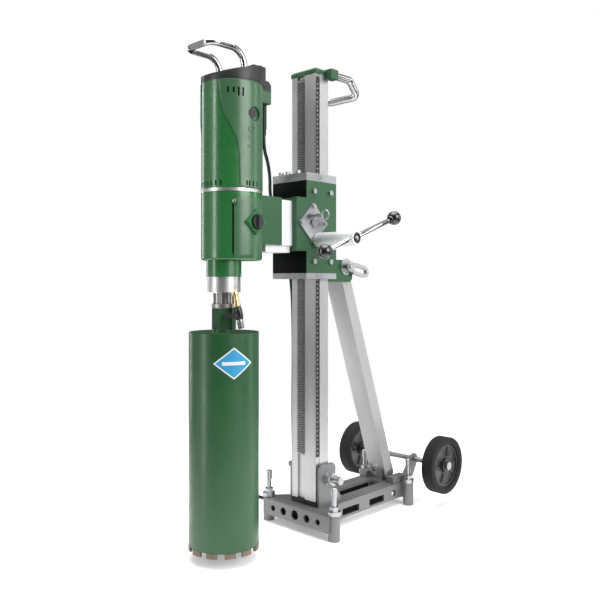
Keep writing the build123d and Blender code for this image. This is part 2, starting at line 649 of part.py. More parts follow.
def carriage_bolts():
    """Cap screws in the carriage's faces and its adjusting screws on top."""
    bolts = []
    for z in (CASTING_LOW + 24, CASTING_HIGH - 21):
        for y in (-41, 9):
            bolts.append(rod_x(5.5, y, z, (CARRIAGE_HALF, CARRIAGE_HALF + 5)))
            bolts.append(rod_x(5.5, y, z, (-CARRIAGE_HALF - 5, -CARRIAGE_HALF)))
    for x in (-36, -16, 14):
        bolts.append(hex_z(10, x, -50, (CARRIAGE_HIGH, CARRIAGE_HIGH + 8)))
    for dy, dz in ((0, 34), (-34, 0), (34, 0)):
        bolts.append(rod_x(4.5, PINION_Y + dy, PINION_Z + dz, (CARRIAGE_HALF + 5, CARRIAGE_HALF + 9)))
    return together(bolts)


def pinion_flange():
    """The diamond-shaped bearing flange on the carriage's right side."""
    outline = Rot(0, 0, 45) * RectangleRounded(60, 60, 5)
    shape = extrude(across(CARRIAGE_HALF, PINION_Y, PINION_Z) * outline, 5)
    shape -= rod_x(PINION_SHAFT / 2 + RUNNING, PINION_Y, PINION_Z, (CARRIAGE_HALF - 1, CARRIAGE_HALF + 6))
    shape -= rod_x(CRANK_SHAFT / 2 + RUNNING, CRANK_Y, CRANK_Z, (CARRIAGE_HALF - 1, CARRIAGE_HALF + 6))
    return shape - rod_x(4 + RUNNING, *lock_place(), (CARRIAGE_HALF - 1, CARRIAGE_HALF + 6))


def pinion():
    """The long feed pinion on its shaft; the rack drives one end of it and the crank's gear the other."""
    phase = math.pi / PINION_TEETH
    left = RACK_CENTRE - RACK_WIDTH / 2
    shape = extrude_gear_x(FEED_MODULE, PINION_TEETH, phase, (left, 24), PINION_Y, PINION_Z)
    shape += rod_x(PINION_SHAFT / 2, PINION_Y, PINION_Z, (-CARRIAGE_HALF + 1, CARRIAGE_HALF + 8))
    return shape


def extrude_gear_x(module, teeth, phase, span, y, z):
    """A gear along X between two limits."""
    return across(span[0], y, z).location * gear(module, teeth, phase, span[1] - span[0])


def crank():
    """The crank: its gear, its shaft and the hollow tube that holds the bar."""
    bearing = math.radians(CRANK_ANGLE)
    phase = mating_phase(math.pi / PINION_TEETH, PINION_TEETH, PINION_TEETH / CRANK_TEETH, bearing, CRANK_TEETH)
    shape = extrude_gear_x(FEED_MODULE, CRANK_TEETH, phase, (8, 22), CRANK_Y, CRANK_Z)
    shape += rod_x(CRANK_SHAFT / 2, CRANK_Y, CRANK_Z, (-CARRIAGE_HALF + 1, CRANK_TUBE_START + 1))
    shape += rod_x(CRANK_TUBE / 2, CRANK_Y, CRANK_Z, (CRANK_TUBE_START, CRANK_TUBE_END))
    shape -= rod_x(CRANK_TUBE / 2 - 5, CRANK_Y, CRANK_Z, (BAR_X + 7, CRANK_TUBE_END + 1))
    through = Pos(BAR_X, CRANK_Y, CRANK_Z) * Rot(BAR_RISE - 90, 0, 0) * Cylinder(BAR / 2 + RUNNING, 60)
    return shape - through


def tommy_bar():
    """The crank's cross bar with a ball at each end; it slides through the crank."""
    middle = (BAR_REAR_ARM - BAR_FRONT_ARM) / 2
    shape = Pos(0, middle, 0) * Rot(90, 0, 0) * Cylinder(BAR / 2, BAR_REAR_ARM + BAR_FRONT_ARM)
    shape += Pos(0, BAR_REAR_ARM, 0) * Sphere(BAR_BALL / 2)
    shape += Pos(0, -BAR_FRONT_ARM, 0) * Sphere(BAR_BALL / 2)
    return Pos(BAR_X, CRANK_Y, CRANK_Z) * Rot(BAR_RISE, 0, 0) * shape


def lock_place():
    """Where the feed's lock pin goes in, off the pinion's axis."""
    return PINION_Y - 8, PINION_Z + 14


def lock_pin():
    """The feed's lock pin with its pull ring; its tip brakes the pinion's face."""
    y, z = lock_place()
    shape = rod_x(4, y, z, (24.3, 84)) + rod_x(6.5, y, z, (CARRIAGE_HALF + 9, CARRIAGE_HALF + 15))
    ring = Pos(92, y, z) * Rot(90, 0, 0) * Torus(9, 1.8)
    return shape + ring


def spacer():
    """The bright spacer block between carriage and motor bracket, with the plate under it."""
    web = PINION_Y - PINION_RADIUS - ADDENDUM * FEED_MODULE - 3 - GEAR_CASE_WEB
    shape = block((-CHANNEL_HALF + 0.5, CHANNEL_HALF - 0.5), (SPACER_FRONT, web), (594, 684))
    return shape + block((-30, 30), (-158, GEAR_CASE_FRONT - 0.5), (580, 594))


def motor_bracket():
    """The green bracket that joins the spacer to the motor's gearbox."""
    shape = block((-38, 38), (-178, SPACER_FRONT), (594, 688))
    shape -= rod_z(MOTOR_RADIUS + SEAT, 0, MOTOR_Y, (500, 760))
    return fillet(shape.edges().filter_by(Axis.Z).group_by(Axis.Y)[-1], 4)


# ---------------------------------------------------------------- motor
def gearbox_housing():
    """The gearbox: a cup under the motor, its nose off centre round the spindle."""
    inner = MOTOR_RADIUS - MOTOR_WALL
    body = rod_z(MOTOR_RADIUS, 0, MOTOR_Y, (GEARBOX_LOW, BAND_LOW))
    body = fillet(body.edges().group_by(Axis.Z)[0], 5)
    body -= rod_z(inner, 0, MOTOR_Y, (GEARBOX_LOW + 12, BAND_LOW + 1))
    body += rod_z(29, 0, SPINDLE_Y, (GEARBOX_LOW + 6, GEARBOX_LOW + 42))
    body += rod_z(NOSE_DIAMETER / 2, 0, SPINDLE_Y, (NOSE_LOW, GEARBOX_LOW + 6))
    body += rod_z(9, IDLER_X, IDLER_Y, (GEARBOX_LOW + 6, GEARBOX_LOW + 34))
    body -= rod_z(24, 0, SPINDLE_Y, (NOSE_LOW - 1, GEARBOX_LOW + 43))
    body -= rod_z(5 + RUNNING, IDLER_X, IDLER_Y, (GEARBOX_LOW + 20, GEARBOX_LOW + 44))
    boss = Rot(45, 0, 0) * Box(14, 34, 34)
    body += Pos(MOTOR_RADIUS + 1, MOTOR_Y + 6, 633) * boss - rod_z(inner + 1, 0, MOTOR_Y, (600, 680))
    return body - rod_x(6 + RUNNING, MOTOR_Y + 6, 633, (MOTOR_RADIUS - 10, MOTOR_RADIUS + 20))


def gear_knob():
    """The speed knob on the gearbox's side."""
    shape = rod_x(6, 0, 0, (-8, 9)) + rod_x(13, 0, 0, (8.8, 12))
    shape += block((11, 18), (-4, 4), (-12, 12))
    return Pos(MOTOR_RADIUS, MOTOR_Y + 6, 633) * shape


def nose_collar():
    """The aluminium water collar round the spindle under the nose."""
    shape = tube_z(COLLAR_DIAMETER / 2, SPINDLE / 2 + RUNNING, 0, SPINDLE_Y, (COLLAR_LOW, NOSE_LOW))
    return shape


def motor_band():
    """The bright band between gearbox and motor: a partition with the shafts' seats."""
    shape = rod_z(MOTOR_RADIUS + 0.6, 0, MOTOR_Y, (BAND_LOW, BAND_HIGH))
    shape += rod_z(9, IDLER_X, IDLER_Y, (BAND_LOW - 8, BAND_LOW + 1))
    shape -= rod_z(13, 0, MOTOR_Y, (BAND_LOW - 1, BAND_HIGH + 1))
    return shape - rod_z(5 + RUNNING, IDLER_X, IDLER_Y, (BAND_LOW - 9, BAND_LOW + 2))


def motor_housing():
    """The motor's shell with its upper bearing web and the brush holders' bores."""
    body = rod_z(MOTOR_RADIUS, 0, MOTOR_Y, (BAND_HIGH, MOTOR_HIGH))
    body -= rod_z(MOTOR_RADIUS - MOTOR_WALL, 0, MOTOR_Y, (BAND_HIGH - 1, MOTOR_HIGH + 1))
    body += tube_z(MOTOR_RADIUS - MOTOR_WALL + 1, 11, 0, MOTOR_Y, (868, 876))
    return body - rod_x(9 + SEAT, MOTOR_Y, BRUSH_Z, (-80, 80))


def motor_cap():
    """The black cap on the motor: low at the front, rising to a hood behind, open for the loop's ends."""
    body = rod_z(MOTOR_RADIUS, 0, MOTOR_Y, (MOTOR_HIGH, HOOD_HIGH))
    high = HOOD_HIGH + 1
    front = MOTOR_Y - MOTOR_RADIUS - 1
    outline = Polyline((front, MOTOR_CAP_HIGH), (MOTOR_Y - 24, MOTOR_CAP_HIGH + 1), (MOTOR_Y + 24, HOOD_HIGH),
                       (MOTOR_Y + 24, high), (front, high), close=True)
    body -= extrude(across(-MOTOR_RADIUS - 1, 0, 0) * make_face(outline), 2 * MOTOR_RADIUS + 2)
    body -= rod_z(MOTOR_RADIUS - MOTOR_WALL, 0, MOTOR_Y, (MOTOR_HIGH - 1, MOTOR_CAP_HIGH - 8))
    for side in (-1, 1):
        body -= rod_z(LOOP_BAR / 2 + SEAT, side * LOOP_HALF, MOTOR_Y, (MOTOR_HIGH, HOOD_HIGH + 1))
    return body


def stator():
    """The field ring inside the motor."""
    inner = MOTOR_RADIUS - MOTOR_WALL
    return tube_z(inner, 33, 0, MOTOR_Y, (738, 802))


def armature():
    """The motor's rotor: shaft, windings, commutator, fan and pinion."""
    shape = rod_z(6, 0, MOTOR_Y, (680, 882)) + rod_z(4.5, 0, MOTOR_Y, (652, 681)) + rod_z(31.5, 0, MOTOR_Y, (742, 798))
    shape += rod_z(14, 0, MOTOR_Y, (822, 848)) + rod_z(44, 0, MOTOR_Y, (710, 713))
    for blade in range(9):
        vane = Rot(0, 0, 40 * blade) * Pos(28, 0, 716.5) * Box(28, 2, 8)
        shape += Pos(0, MOTOR_Y, 0) * vane
    return shape + Pos(0, MOTOR_Y, 656) * gear(FAST_MODULE, ARMATURE_TEETH, 0, 16)


def idler():
    """The intermediate shaft with its two gears."""
    to_idler = math.atan2(IDLER_Y - MOTOR_Y, IDLER_X)
    phase = mating_phase(0, ARMATURE_TEETH, ARMATURE_TEETH / IDLER_BIG_TEETH, to_idler, IDLER_BIG_TEETH)
    big = Pos(0, 0, 656) * gear(FAST_MODULE, IDLER_BIG_TEETH, phase, 14)
    small = Pos(0, 0, 615) * gear(SLOW_MODULE, IDLER_SMALL_TEETH, 0, 24)
    return Pos(IDLER_X, IDLER_Y, 0) * (rod_z(5, 0, 0, (GEARBOX_LOW + 21, BAND_LOW - 0.5)) + big + small)


def spindle():
    """The spindle: gear, shaft, flange with its studs and the hexagon that takes the bit."""
    from_idler = math.atan2(SPINDLE_Y - IDLER_Y, -IDLER_X)
    ratio = IDLER_SMALL_TEETH / SPINDLE_TEETH
    phase = mating_phase(0, IDLER_SMALL_TEETH, ratio, from_idler, SPINDLE_TEETH)
    shape = rod_z(SPINDLE / 2, 0, 0, (HEX_LOW, 646)) + rod_z(FLANGE_DIAMETER / 2, 0, 0, (FLANGE_LOW, FLANGE_HIGH))
    shape += hex_z(HEX_FLATS, 0, 0, (HEX_LOW, FLANGE_LOW))
    for stud in range(6):
        angle = math.radians(60 * stud)
        shape += rod_z(2.6, 18 * math.cos(angle), 18 * math.sin(angle), (FLANGE_HIGH, COLLAR_LOW - 2))
    return Pos(0, SPINDLE_Y, 0) * (shape + Pos(0, 0, 616) * gear(SLOW_MODULE, SPINDLE_TEETH, phase, 20))


def bearings():
    """The ring bearings of spindle and armature."""
    rings = [
        tube_z(24 - SEAT, SPINDLE / 2 + RUNNING, 0, SPINDLE_Y, (534, 549)),
        tube_z(24 - SEAT, SPINDLE / 2 + RUNNING, 0, SPINDLE_Y, (588, 603)),
        tube_z(13 - SEAT, 6 + RUNNING, 0, MOTOR_Y, (BAND_LOW, BAND_HIGH)),
        tube_z(11 - SEAT, 6 + RUNNING, 0, MOTOR_Y, (868, 876)),
    ]
    return together(rings)


def brush_holders():
    """The two brush caps, each with its brush reaching in to the commutator."""
    holders = []
    for side in (-1, 1):
        outer = side * (MOTOR_RADIUS + 2)
        low, high = sorted((side * 44, outer))
        cap = rod_x(9, MOTOR_Y, BRUSH_Z, (low, high))
        low, high = sorted((side * 14.3, side * 45))
        holders.append(cap + block((low, high), (MOTOR_Y - 4, MOTOR_Y + 4), (BRUSH_Z - 5, BRUSH_Z + 5)))
    return together(holders)


def loop_handle():
    """The bright loop on the motor's head, its ends sunk in the cap."""
    x, y = LOOP_HALF, MOTOR_Y
    low = MOTOR_CAP_HIGH - 8
    front = y - LOOP_REACH
    points = [(-x, y, low), (-x, y, LOOP_TOP), (-x, front, LOOP_TOP), (x, front, LOOP_TOP), (x, y, LOOP_TOP), (x, y, low)]
    return bent_bar(points, [LOOP_BEND, LOOP_CORNER, LOOP_CORNER, LOOP_BEND], LOOP_BAR)


def switch_box():
    """The box behind the motor that holds the power switch."""
    shape = block((-27, 27), (-172, -138), (871, 914))
    shape = chamfer(shape.edges().filter_by(Axis.X).group_by(Axis.Z)[-1].group_by(Axis.Y)[-1], 9)
    shape = fillet(shape.edges().filter_by(Axis.Z).group_by(Axis.Y)[-1], 4)
    shape -= rod_z(MOTOR_RADIUS + SEAT, 0, MOTOR_Y, (860, 940))
    return shape - block((-9, 9), (-144, -137), (890, 908))


def power_switch():
    """The push button in the switch box."""
    return block((-8.5, 8.5), (-140.5, -134), (890.5, 907.5))


def strain_relief():
    """The rubber sleeve that the cord leaves through."""
    x, y, z = UPPER_ROUTE[0]
    return rod_z(5.5, x, y, (z + 12, 871)) + rod_z(4.6, x, y, (z, z + 12))


def water_valve():
    """The brass elbow on the water collar, the valve's body and its hose fitting."""
    x = COLLAR_DIAMETER / 2 + 15
    elbow = rod_x(6, SPINDLE_Y, 498, (COLLAR_DIAMETER / 2 - 3, x)) - rod_z(COLLAR_DIAMETER / 2, 0, SPINDLE_Y, (490, 510))
    elbow += Pos(x, SPINDLE_Y, 498) * Sphere(6.5) + rod_z(6, x, SPINDLE_Y, (470, 498))
    elbow += hex_z(18, x, SPINDLE_Y, (446, 472)) + rod_z(7, x, SPINDLE_Y, (430, 447))
    return elbow - rod_z(4, x, SPINDLE_Y, (429, 445))


def valve_lever():
    """The valve's quarter-turn lever."""
    x = COLLAR_DIAMETER / 2 + 15
    shape = rod_y(4, x, 459, (SPINDLE_Y - 17, SPINDLE_Y - 9.2))
    return shape + block((x - 25, x + 5), (SPINDLE_Y - 17, SPINDLE_Y - 13.5), (455, 463))


def bit_barrel():
    """The crown bit's tube and roof."""
    radius = BIT_DIAMETER / 2
    shape = rod_z(radius, 0, SPINDLE_Y, (BIT_LOW, BIT_HIGH))
    shape -= rod_z(radius - BIT_WALL, 0, SPINDLE_Y, (BIT_LOW - 1, BIT_HIGH - BIT_ROOF))
    return shape + rod_z(22, 0, SPINDLE_Y, (BIT_HIGH - 1, HEX_LOW))


def bit_segments():
    """The diamond segments on the bit's rim."""
    radius = BIT_DIAMETER / 2
    ring = Circle(radius + SEGMENT_STAND) - Circle(radius - BIT_WALL - SEGMENT_STAND)
    half = math.degrees(SEGMENT_LENGTH / radius) / 2
    reach = 2 * radius
    edge = [(0, 0), (reach, -reach * math.tan(math.radians(half))), (reach, reach * math.tan(math.radians(half)))]
    sector = ring & make_face(Polyline(*edge, close=True))
    tooth = extrude(sector, SEGMENT_HEIGHT)
    teeth = [Pos(0, SPINDLE_Y, BIT_LOW - SEGMENT_HEIGHT) * Rot(0, 0, 360 * step / SEGMENTS) * tooth
             for step in range(SEGMENTS)]
    return together(teeth)


# ---------------------------------------------------------------- cord
def cord_tube(route):
    """A cord along straight runs, with an arc at every point between them."""
    runs = [math.dist(here, after) for here, after in zip(route, route[1:])]
    reaches = [0.45 * min(before, after) for before, after in zip(runs, runs[1:])]
    return round_bar(rounded_line(route, reaches), route[0], route[1], CORD)


def cord_coil():
    """The stored cord's outer shape: a flat ring on the floor."""
    x, y = COIL_CENTRE
    return tube_z(COIL_OUTER / 2, COIL_INNER / 2, x, y, (0.2, COIL_HEIGHT))


def cord_plug():
    """The plug, lying on top of the coil."""
    x, y = COIL_CENTRE
    z = COIL_HEIGHT + PLUG / 2
    shape = rod_y(PLUG / 2, x - 45, z, (y - PLUG_LENGTH / 2, y + PLUG_LENGTH / 2))
    for side in (-1, 1):
        shape += rod_y(2.4, x - 45 + side * 9.5, z, (y - PLUG_LENGTH / 2 - 19, y - PLUG_LENGTH / 2 + 1))
    return shape


# ---------------------------------------------------------------- all nodes
def build_nodes():
    """Every sub-part, by its node's name, in the column's frame."""
    nodes = {}
    for maker in (
        base_frame, hinge_brackets, tilt_bolt, lock_nuts, strut_pin, axle,
        column, rack, ladder_strip, column_foot, top_cap, carry_handle,
        strut, strut_clamp, clamp_bolt, clamp_lever,
        carriage_housing, end_plates, guide_shoes, carriage_bolts, pinion_flange, pinion, crank, tommy_bar,
        lock_pin, spacer, motor_bracket,
        gearbox_housing, gear_knob, nose_collar, motor_band, motor_housing, motor_cap, stator, armature, idler,
        spindle, bearings, brush_holders, loop_handle, switch_box, power_switch, strain_relief,
        water_valve, valve_lever, bit_barrel, bit_segments,
    ):
        nodes[maker.__name__] = maker()
    for name, (x, y) in screw_places().items():
        nodes["level_screw_" + name] = level_screw(x, y)
    for side, name in ((-1, "left"), (1, "right")):
        nodes["rim_" + name] = rim(side)
        nodes["tyre_" + name] = tyre(side)
    return nodes


def cord_nodes():
    """The cord's own pieces."""
    return {
        "cord_upper": cord_tube(UPPER_ROUTE),
        "cord_lower": cord_tube(LOWER_ROUTE),
        "cord_coil": cord_coil(),
        "cord_plug": cord_plug(),
    }


def main():
    """Builds every node, centres the rig in plan and writes the STEP files."""
    os.makedirs("parts", exist_ok=True)
    nodes = build_nodes()
    boxes = [shape.bounding_box() for shape in nodes.values()]
    middle_x = (min(box.min.X for box in boxes) + max(box.max.X for box in boxes)) / 2
    middle_y = (min(box.min.Y for box in boxes) + max(box.max.Y for box in boxes)) / 2
    nodes.update(cord_nodes())
    for name, shape in nodes.items():
        export_step(Pos(-middle_x, -middle_y, 0) * shape, "parts/" + name + ".step")
    print("column centre at", round(-middle_x, 4), round(-middle_y, 4))
    print("nodes", len(nodes))


if __name__ == "__main__":
    main()
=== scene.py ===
"""Core drill rig: the looks of the drill stand, its motor, its bit and its lead, built round the fixed frame.
Run as a script in Blender 4.5. Sizes are millimetres from the column's centre line, as in the part's own source.
"""
import json
import math

import bpy
from mathutils import Matrix, Vector


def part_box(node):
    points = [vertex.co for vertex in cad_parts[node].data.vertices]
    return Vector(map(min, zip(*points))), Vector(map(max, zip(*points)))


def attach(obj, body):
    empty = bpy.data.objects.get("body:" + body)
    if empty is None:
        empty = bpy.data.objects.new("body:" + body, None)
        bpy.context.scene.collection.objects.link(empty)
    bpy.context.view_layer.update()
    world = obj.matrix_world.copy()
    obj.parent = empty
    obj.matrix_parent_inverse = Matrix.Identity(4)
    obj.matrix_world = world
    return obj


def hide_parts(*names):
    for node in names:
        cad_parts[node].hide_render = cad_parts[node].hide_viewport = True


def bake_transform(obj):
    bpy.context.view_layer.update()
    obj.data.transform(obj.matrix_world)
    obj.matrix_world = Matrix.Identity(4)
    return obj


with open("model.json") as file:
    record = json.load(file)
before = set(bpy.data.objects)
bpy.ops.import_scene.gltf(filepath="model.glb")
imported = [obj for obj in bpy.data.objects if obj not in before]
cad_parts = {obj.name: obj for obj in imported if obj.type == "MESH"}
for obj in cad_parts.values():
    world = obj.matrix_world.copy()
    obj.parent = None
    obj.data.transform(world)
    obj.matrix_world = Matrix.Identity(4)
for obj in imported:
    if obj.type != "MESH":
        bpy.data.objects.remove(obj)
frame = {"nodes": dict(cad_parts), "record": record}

bl_info = {
    "name": "Core drill rig",
    "version": (1, 0, 0),
    "blender": (4, 5, 0),
    "location": "View3D > Sidebar > Core Drill Rig",
    "description": "Builds the finished pieces of a core drill rig round its frame",
    "category": "Object",
}

MM = 0.001
COLUMN_LOW, COLUMN_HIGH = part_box("column")
CENTRE_X = (COLUMN_LOW.x + COLUMN_HIGH.x) / 2
CENTRE_Y = (COLUMN_LOW.y + COLUMN_HIGH.y) / 2
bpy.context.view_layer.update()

# ---- sizes of the frame's own parts that the pieces follow, in millimetres from the column's centre line
MOTOR_Y = -219.0
MOTOR_RADIUS = 58.0
MOTOR_LOW = 695.0
MOTOR_HIGH = 895.0
GEARBOX_LOW = 562.0
GEARBOX_HIGH = 681.0
SPINDLE_Y = -238.0
BIT_RADIUS = 66.0
KNOB_Y = -213.0
KNOB_Z = 633.0
CARRIAGE_HALF = 49.0
CARRIAGE_FRONT = -62.0
CRANK_Y = -34.0
CRANK_Z = 607.1
WHEEL_X = 124.0
WHEEL_Y = 320.0
WHEEL_Z = 93.5
CORD = 7.0

# ---- the motor: cooling slots as (angle, low, high), the side cover's edge as (height, angle), and raised rings
UPPER_VENTS = ((-46.8, 869, 880), (-36.7, 869, 880), (-27.7, 863, 880), (-19.6, 863, 880))
LOWER_VENT_ANGLES = (-90, -81, -71, -60.5, -12, -6.5, 2, 12)
LOWER_VENT_SPAN = (699, 709)
VENT_DEPTH = 7
COVER_CREASE = (
    (695, -26), (709, -26), (755, -27.5), (782, -31), (804, -40.5), (831, -54), (862, -61.5), (895, -65))
BRUSH_Y = MOTOR_Y + 5.5
BRUSH_Z = 835
RAISED_RINGS = ((-3, 805, 6.2), (-7, 788, 3.4), (-8.5, 772.6, 2))
CAP_SLOPE_Z = 923
CAP_SLOPE = 15.5
HANDLE_X = 36
HANDLE_BORE = 6.1

# ---- the gearbox, the bit's label and the near-black plates on the carriage's front faces, painted shade
GEARBOX_EDGE = -36.5
GEARBOX_SCREW_Z = 670
LABEL_ANGLE = -24
LABEL_Z = 373.5
LABEL_STRIPE_HALF = 3.2
LABEL_TRIM = 0.995
FRONT_SHADE_PLATES = (("guard_upper", 690, 728), ("guard_lower", 539, 586))

# ---- the near-black boards in the base's hollow, painted shade, and the stage
SHADE_BOARD_LOW, SHADE_BOARD_HIGH = 18, 44.6
CAMERA_PLACE = (1038.5, -1106, 523)
CAMERA_TURN = 44
LENS = 42.6
LENS_SHIFT = -0.0317
FLOOR_SOLID, FLOOR_GONE = 0.5, 1.5
# name, place, target, width, height, power
LIGHTS = (
    ("key_light", (2500, 300, 1500), (0, -60, 420), 1.8, 1.8, 58),
    ("strip_light", (-650, -2300, 700), (0, -200, 480), 0.3, 2.4, 19),
    ("rear_light", (1400, 2000, 900), (0, -50, 450), 0.35, 2.2, 10),
    ("left_light", (-2200, -300, 800), (0, -150, 480), 0.4, 2.0, 9),
    ("top_light", (0, -100, 2500), (0, -50, 400), 2.2, 2.2, 62))
# what the metal reflects: (place round the room, brightness) and (height of the view, brightness)
ROOM_BANDS = (
    (0.0, 0.05), (0.07, 0.25), (0.11, 0.85), (0.15, 0.85), (0.18, 0.06), (0.3, 0.06), (0.42, 0.05), (0.5, 0.7),
    (0.56, 0.06), (0.7, 0.05), (0.77, 0.8), (0.82, 0.04), (0.93, 0.04))
ROOM_RISE = ((0.0, 0.0), (0.3, 0.05), (0.55, 0.55), (0.85, 0.9))
ROOM_STRENGTH = 0.55


def at(x, y, z):
    """A point given in millimetres from the column's centre line, as a point of the frame in metres."""
    return Vector((x * MM + CENTRE_X, y * MM + CENTRE_Y, z * MM))


# ---------------------------------------------------------------- materials
class Finish:
    """A procedural material being put together, with short ways to add its nodes."""

    def __init__(self, name):
        self.material = bpy.data.materials.new(name)
        self.material.use_nodes = True
        self.tree = self.material.node_tree
        self.shader = self.tree.nodes["Principled BSDF"]
        self.place = self.add("ShaderNodeTexCoord").outputs["Object"]

    def add(self, kind, **settings):
        """A new node with its settings."""
        node = self.tree.nodes.new(kind)
        for key, value in settings.items():
            setattr(node, key, value)
        return node

    def link(self, source, target):
        """Joins two sockets."""
        self.tree.links.new(source, target)

    def stretched(self, stretch, turn=(0, 0, 0), shift=(0, 0, 0)):
        """Object coordinates scaled by stretch, so that a grain can run one way."""
        node = self.add("ShaderNodeMapping")
        node.inputs["Location"].default_value = shift
        node.inputs["Rotation"].default_value = turn
        node.inputs["Scale"].default_value = stretch
        self.link(self.place, node.inputs["Vector"])
        return node.outputs["Vector"]

    def noise(self, scale, detail=3.0, rough=0.55, stretch=(1, 1, 1)):
        """Noise between 0 and 1."""
        node = self.add("ShaderNodeTexNoise")
        node.inputs["Scale"].default_value = scale
        node.inputs["Detail"].default_value = detail
        node.inputs["Roughness"].default_value = rough
        self.link(self.stretched(stretch), node.inputs["Vector"])
        return node.outputs["Fac"]

    def ramp(self, factor, *stops):
        """A colour that runs through (place, colour) stops."""
        node = self.add("ShaderNodeValToRGB")
        marks = node.color_ramp.elements
        while len(marks) < len(stops):
            marks.new(0.5)
        for mark, (place, colour) in zip(marks, stops):
            mark.position = place
            mark.color = colour if len(colour) == 4 else (*colour, 1)
        self.link(factor, node.inputs["Fac"])
        return node.outputs["Color"]

    def span(self, factor, low, high, start=0.3, stop=0.7):
        """A number between low and high that follows factor."""
        node = self.add("ShaderNodeMapRange")
        node.inputs["From Min"].default_value = start
        node.inputs["From Max"].default_value = stop
        node.inputs["To Min"].default_value = low
        node.inputs["To Max"].default_value = high
        self.link(factor, node.inputs["Value"])
        return node.outputs["Result"]

    def mix(self, factor, first, second, blend="MIX"):
        """Two colours blended; each value is a socket or a plain value."""
        node = self.add("ShaderNodeMix", data_type="RGBA", blend_type=blend)
        for value, socket in ((factor, 0), (first, 6), (second, 7)):
            if hasattr(value, "links"):
                self.link(value, node.inputs[socket])
            else:
                node.inputs[socket].default_value = value
        return node.outputs[2]

    def bump(self, height, strength, distance=0.001, below=None):
        """A surface relief, laid over another one below it."""
        node = self.add("ShaderNodeBump")
        node.inputs["Strength"].default_value = strength
        node.inputs["Distance"].default_value = distance
        self.link(height, node.inputs["Height"])
        if below is not None:
            self.link(below, node.inputs["Normal"])
        return node.outputs["Normal"]

    def set(self, **sockets):
        """Sets or links the shader's sockets, named with _ for a space."""
        for key, value in sockets.items():
            socket = self.shader.inputs[key.replace("_", " ")]
            if hasattr(value, "links"):
                self.link(value, socket)
            else:
                socket.default_value = value


def rgba(colour, share=1.0):
    """A colour with full alpha, made darker or lighter by a share."""
    return (colour[0] * share, colour[1] * share, colour[2] * share, 1)


def enamel(name, colour, roughness=0.3, coat=0.35):
    """Sprayed enamel: faint colour drift, orange peel, and dust that dulls it here and there."""
    paint = Finish(name)
    drift = paint.noise(5, 4)
    dust = paint.noise(38, 5, 0.6)
    peel = paint.noise(520, 2)
    body = paint.ramp(drift, (0.3, rgba(colour, 0.88)), (0.7, rgba(colour, 1.1)))
    specks = paint.ramp(paint.noise(900, 2, 0.5), (0.66, (0, 0, 0)), (0.74, (1, 1, 1)))
    worn = paint.mix(0.06, body, specks, "SCREEN")
    paint.set(Base_Color=worn, Roughness=paint.span(dust, roughness - 0.06, roughness + 0.1))
    paint.set(Coat_Weight=coat, Coat_Roughness=0.24, Specular_IOR_Level=0.5)
    paint.set(Normal=paint.bump(peel, 0.025, 0.0003, paint.bump(dust, 0.003, 0.0006)))
    return paint.material


def two_tone(name, low_colour, high_colour, height, low_metal=0.0, high_metal=0.0):
    """One finish below a height and another one above it."""
    casing = Finish(name)
    parts = casing.add("ShaderNodeSeparateXYZ")
    casing.link(casing.place, parts.inputs[0])
    above = casing.add("ShaderNodeMath", operation="GREATER_THAN")
    above.inputs[1].default_value = height * MM
    casing.link(parts.outputs["Z"], above.inputs[0])
    drift = casing.noise(7, 4)
    low = casing.ramp(drift, (0.3, rgba(low_colour, 0.9)), (0.7, rgba(low_colour, 1.1)))
    high = casing.ramp(drift, (0.3, rgba(high_colour, 0.85)), (0.7, rgba(high_colour, 1.05)))
    casing.set(Base_Color=casing.mix(above.outputs[0], low, high))
    casing.set(Metallic=casing.span(above.outputs[0], low_metal, high_metal, 0, 1))
    casing.set(Roughness=casing.span(casing.noise(60, 4), 0.34, 0.5))
    casing.set(Normal=casing.bump(casing.noise(1400, 2), 0.08, 0.0003))
    return casing.material


def drawn_metal(name, colour, roughness, stretch, streak=0.12, metallic=1.0, smudge=0.08):
    """Drawn, turned or brushed metal: fine streaks along one way, and smudges over them."""
    metal = Finish(name)
    streaks = metal.noise(1, 6, 0.65, stretch)
    smears = metal.noise(9, 5, 0.6)
    body = metal.ramp(streaks, (0.25, rgba(colour, 1 - streak)), (0.75, rgba(colour, 1 + streak / 2)))
    tone = metal.ramp(smears, (0.3, (1 - smudge,) * 3), (0.75, (1, 1, 1)))
    metal.set(Base_Color=metal.mix(1.0, body, tone, "MULTIPLY"), Metallic=metallic)
    shine = metal.span(smears, roughness - 0.05, roughness + 0.09)
    metal.set(Roughness=shine, Normal=metal.bump(streaks, 0.05, 0.0004))
    return metal.material


def plating(name, colour, roughness, mottle=0.14):
    """Plated or cast steel: a fine mottle, small pits and dull patches."""
    metal = Finish(name)
    patches = metal.noise(24, 5, 0.6)
    pits = metal.noise(700, 3, 0.5)
    body = metal.ramp(patches, (0.3, rgba(colour, 1 - mottle)), (0.7, rgba(colour)))
    metal.set(Base_Color=body, Metallic=1.0, Roughness=metal.span(patches, roughness - 0.06, roughness + 0.12))
    metal.set(Normal=metal.bump(pits, 0.1, 0.0003))
    return metal.material


def silver_paint(name, colour, roughness=0.42):
    """Silver paint on steel: bright flakes in a grey coat, with a few scuffs."""
    paint = Finish(name)
    flakes = paint.noise(1600, 2, 0.5)
    clouds = paint.noise(8, 4)
    scuffs = paint.ramp(paint.noise(1, 7, 0.7, (30, 30, 160)), (0.62, (0, 0, 0)), (0.7, (1, 1, 1)))
    body = paint.ramp(clouds, (0.3, rgba(colour, 0.93)), (0.7, rgba(colour, 1.03)))
    speckled = paint.mix(0.12, body, paint.ramp(flakes, (0.4, (0.35,) * 3), (0.62, (1, 1, 1))), "OVERLAY")
    paint.set(Base_Color=paint.mix(0.04, speckled, scuffs, "SCREEN"), Metallic=0.55)
    paint.set(Roughness=paint.span(clouds, roughness - 0.05, roughness + 0.08))
    paint.set(Normal=paint.bump(flakes, 0.06, 0.0002))
    return paint.material


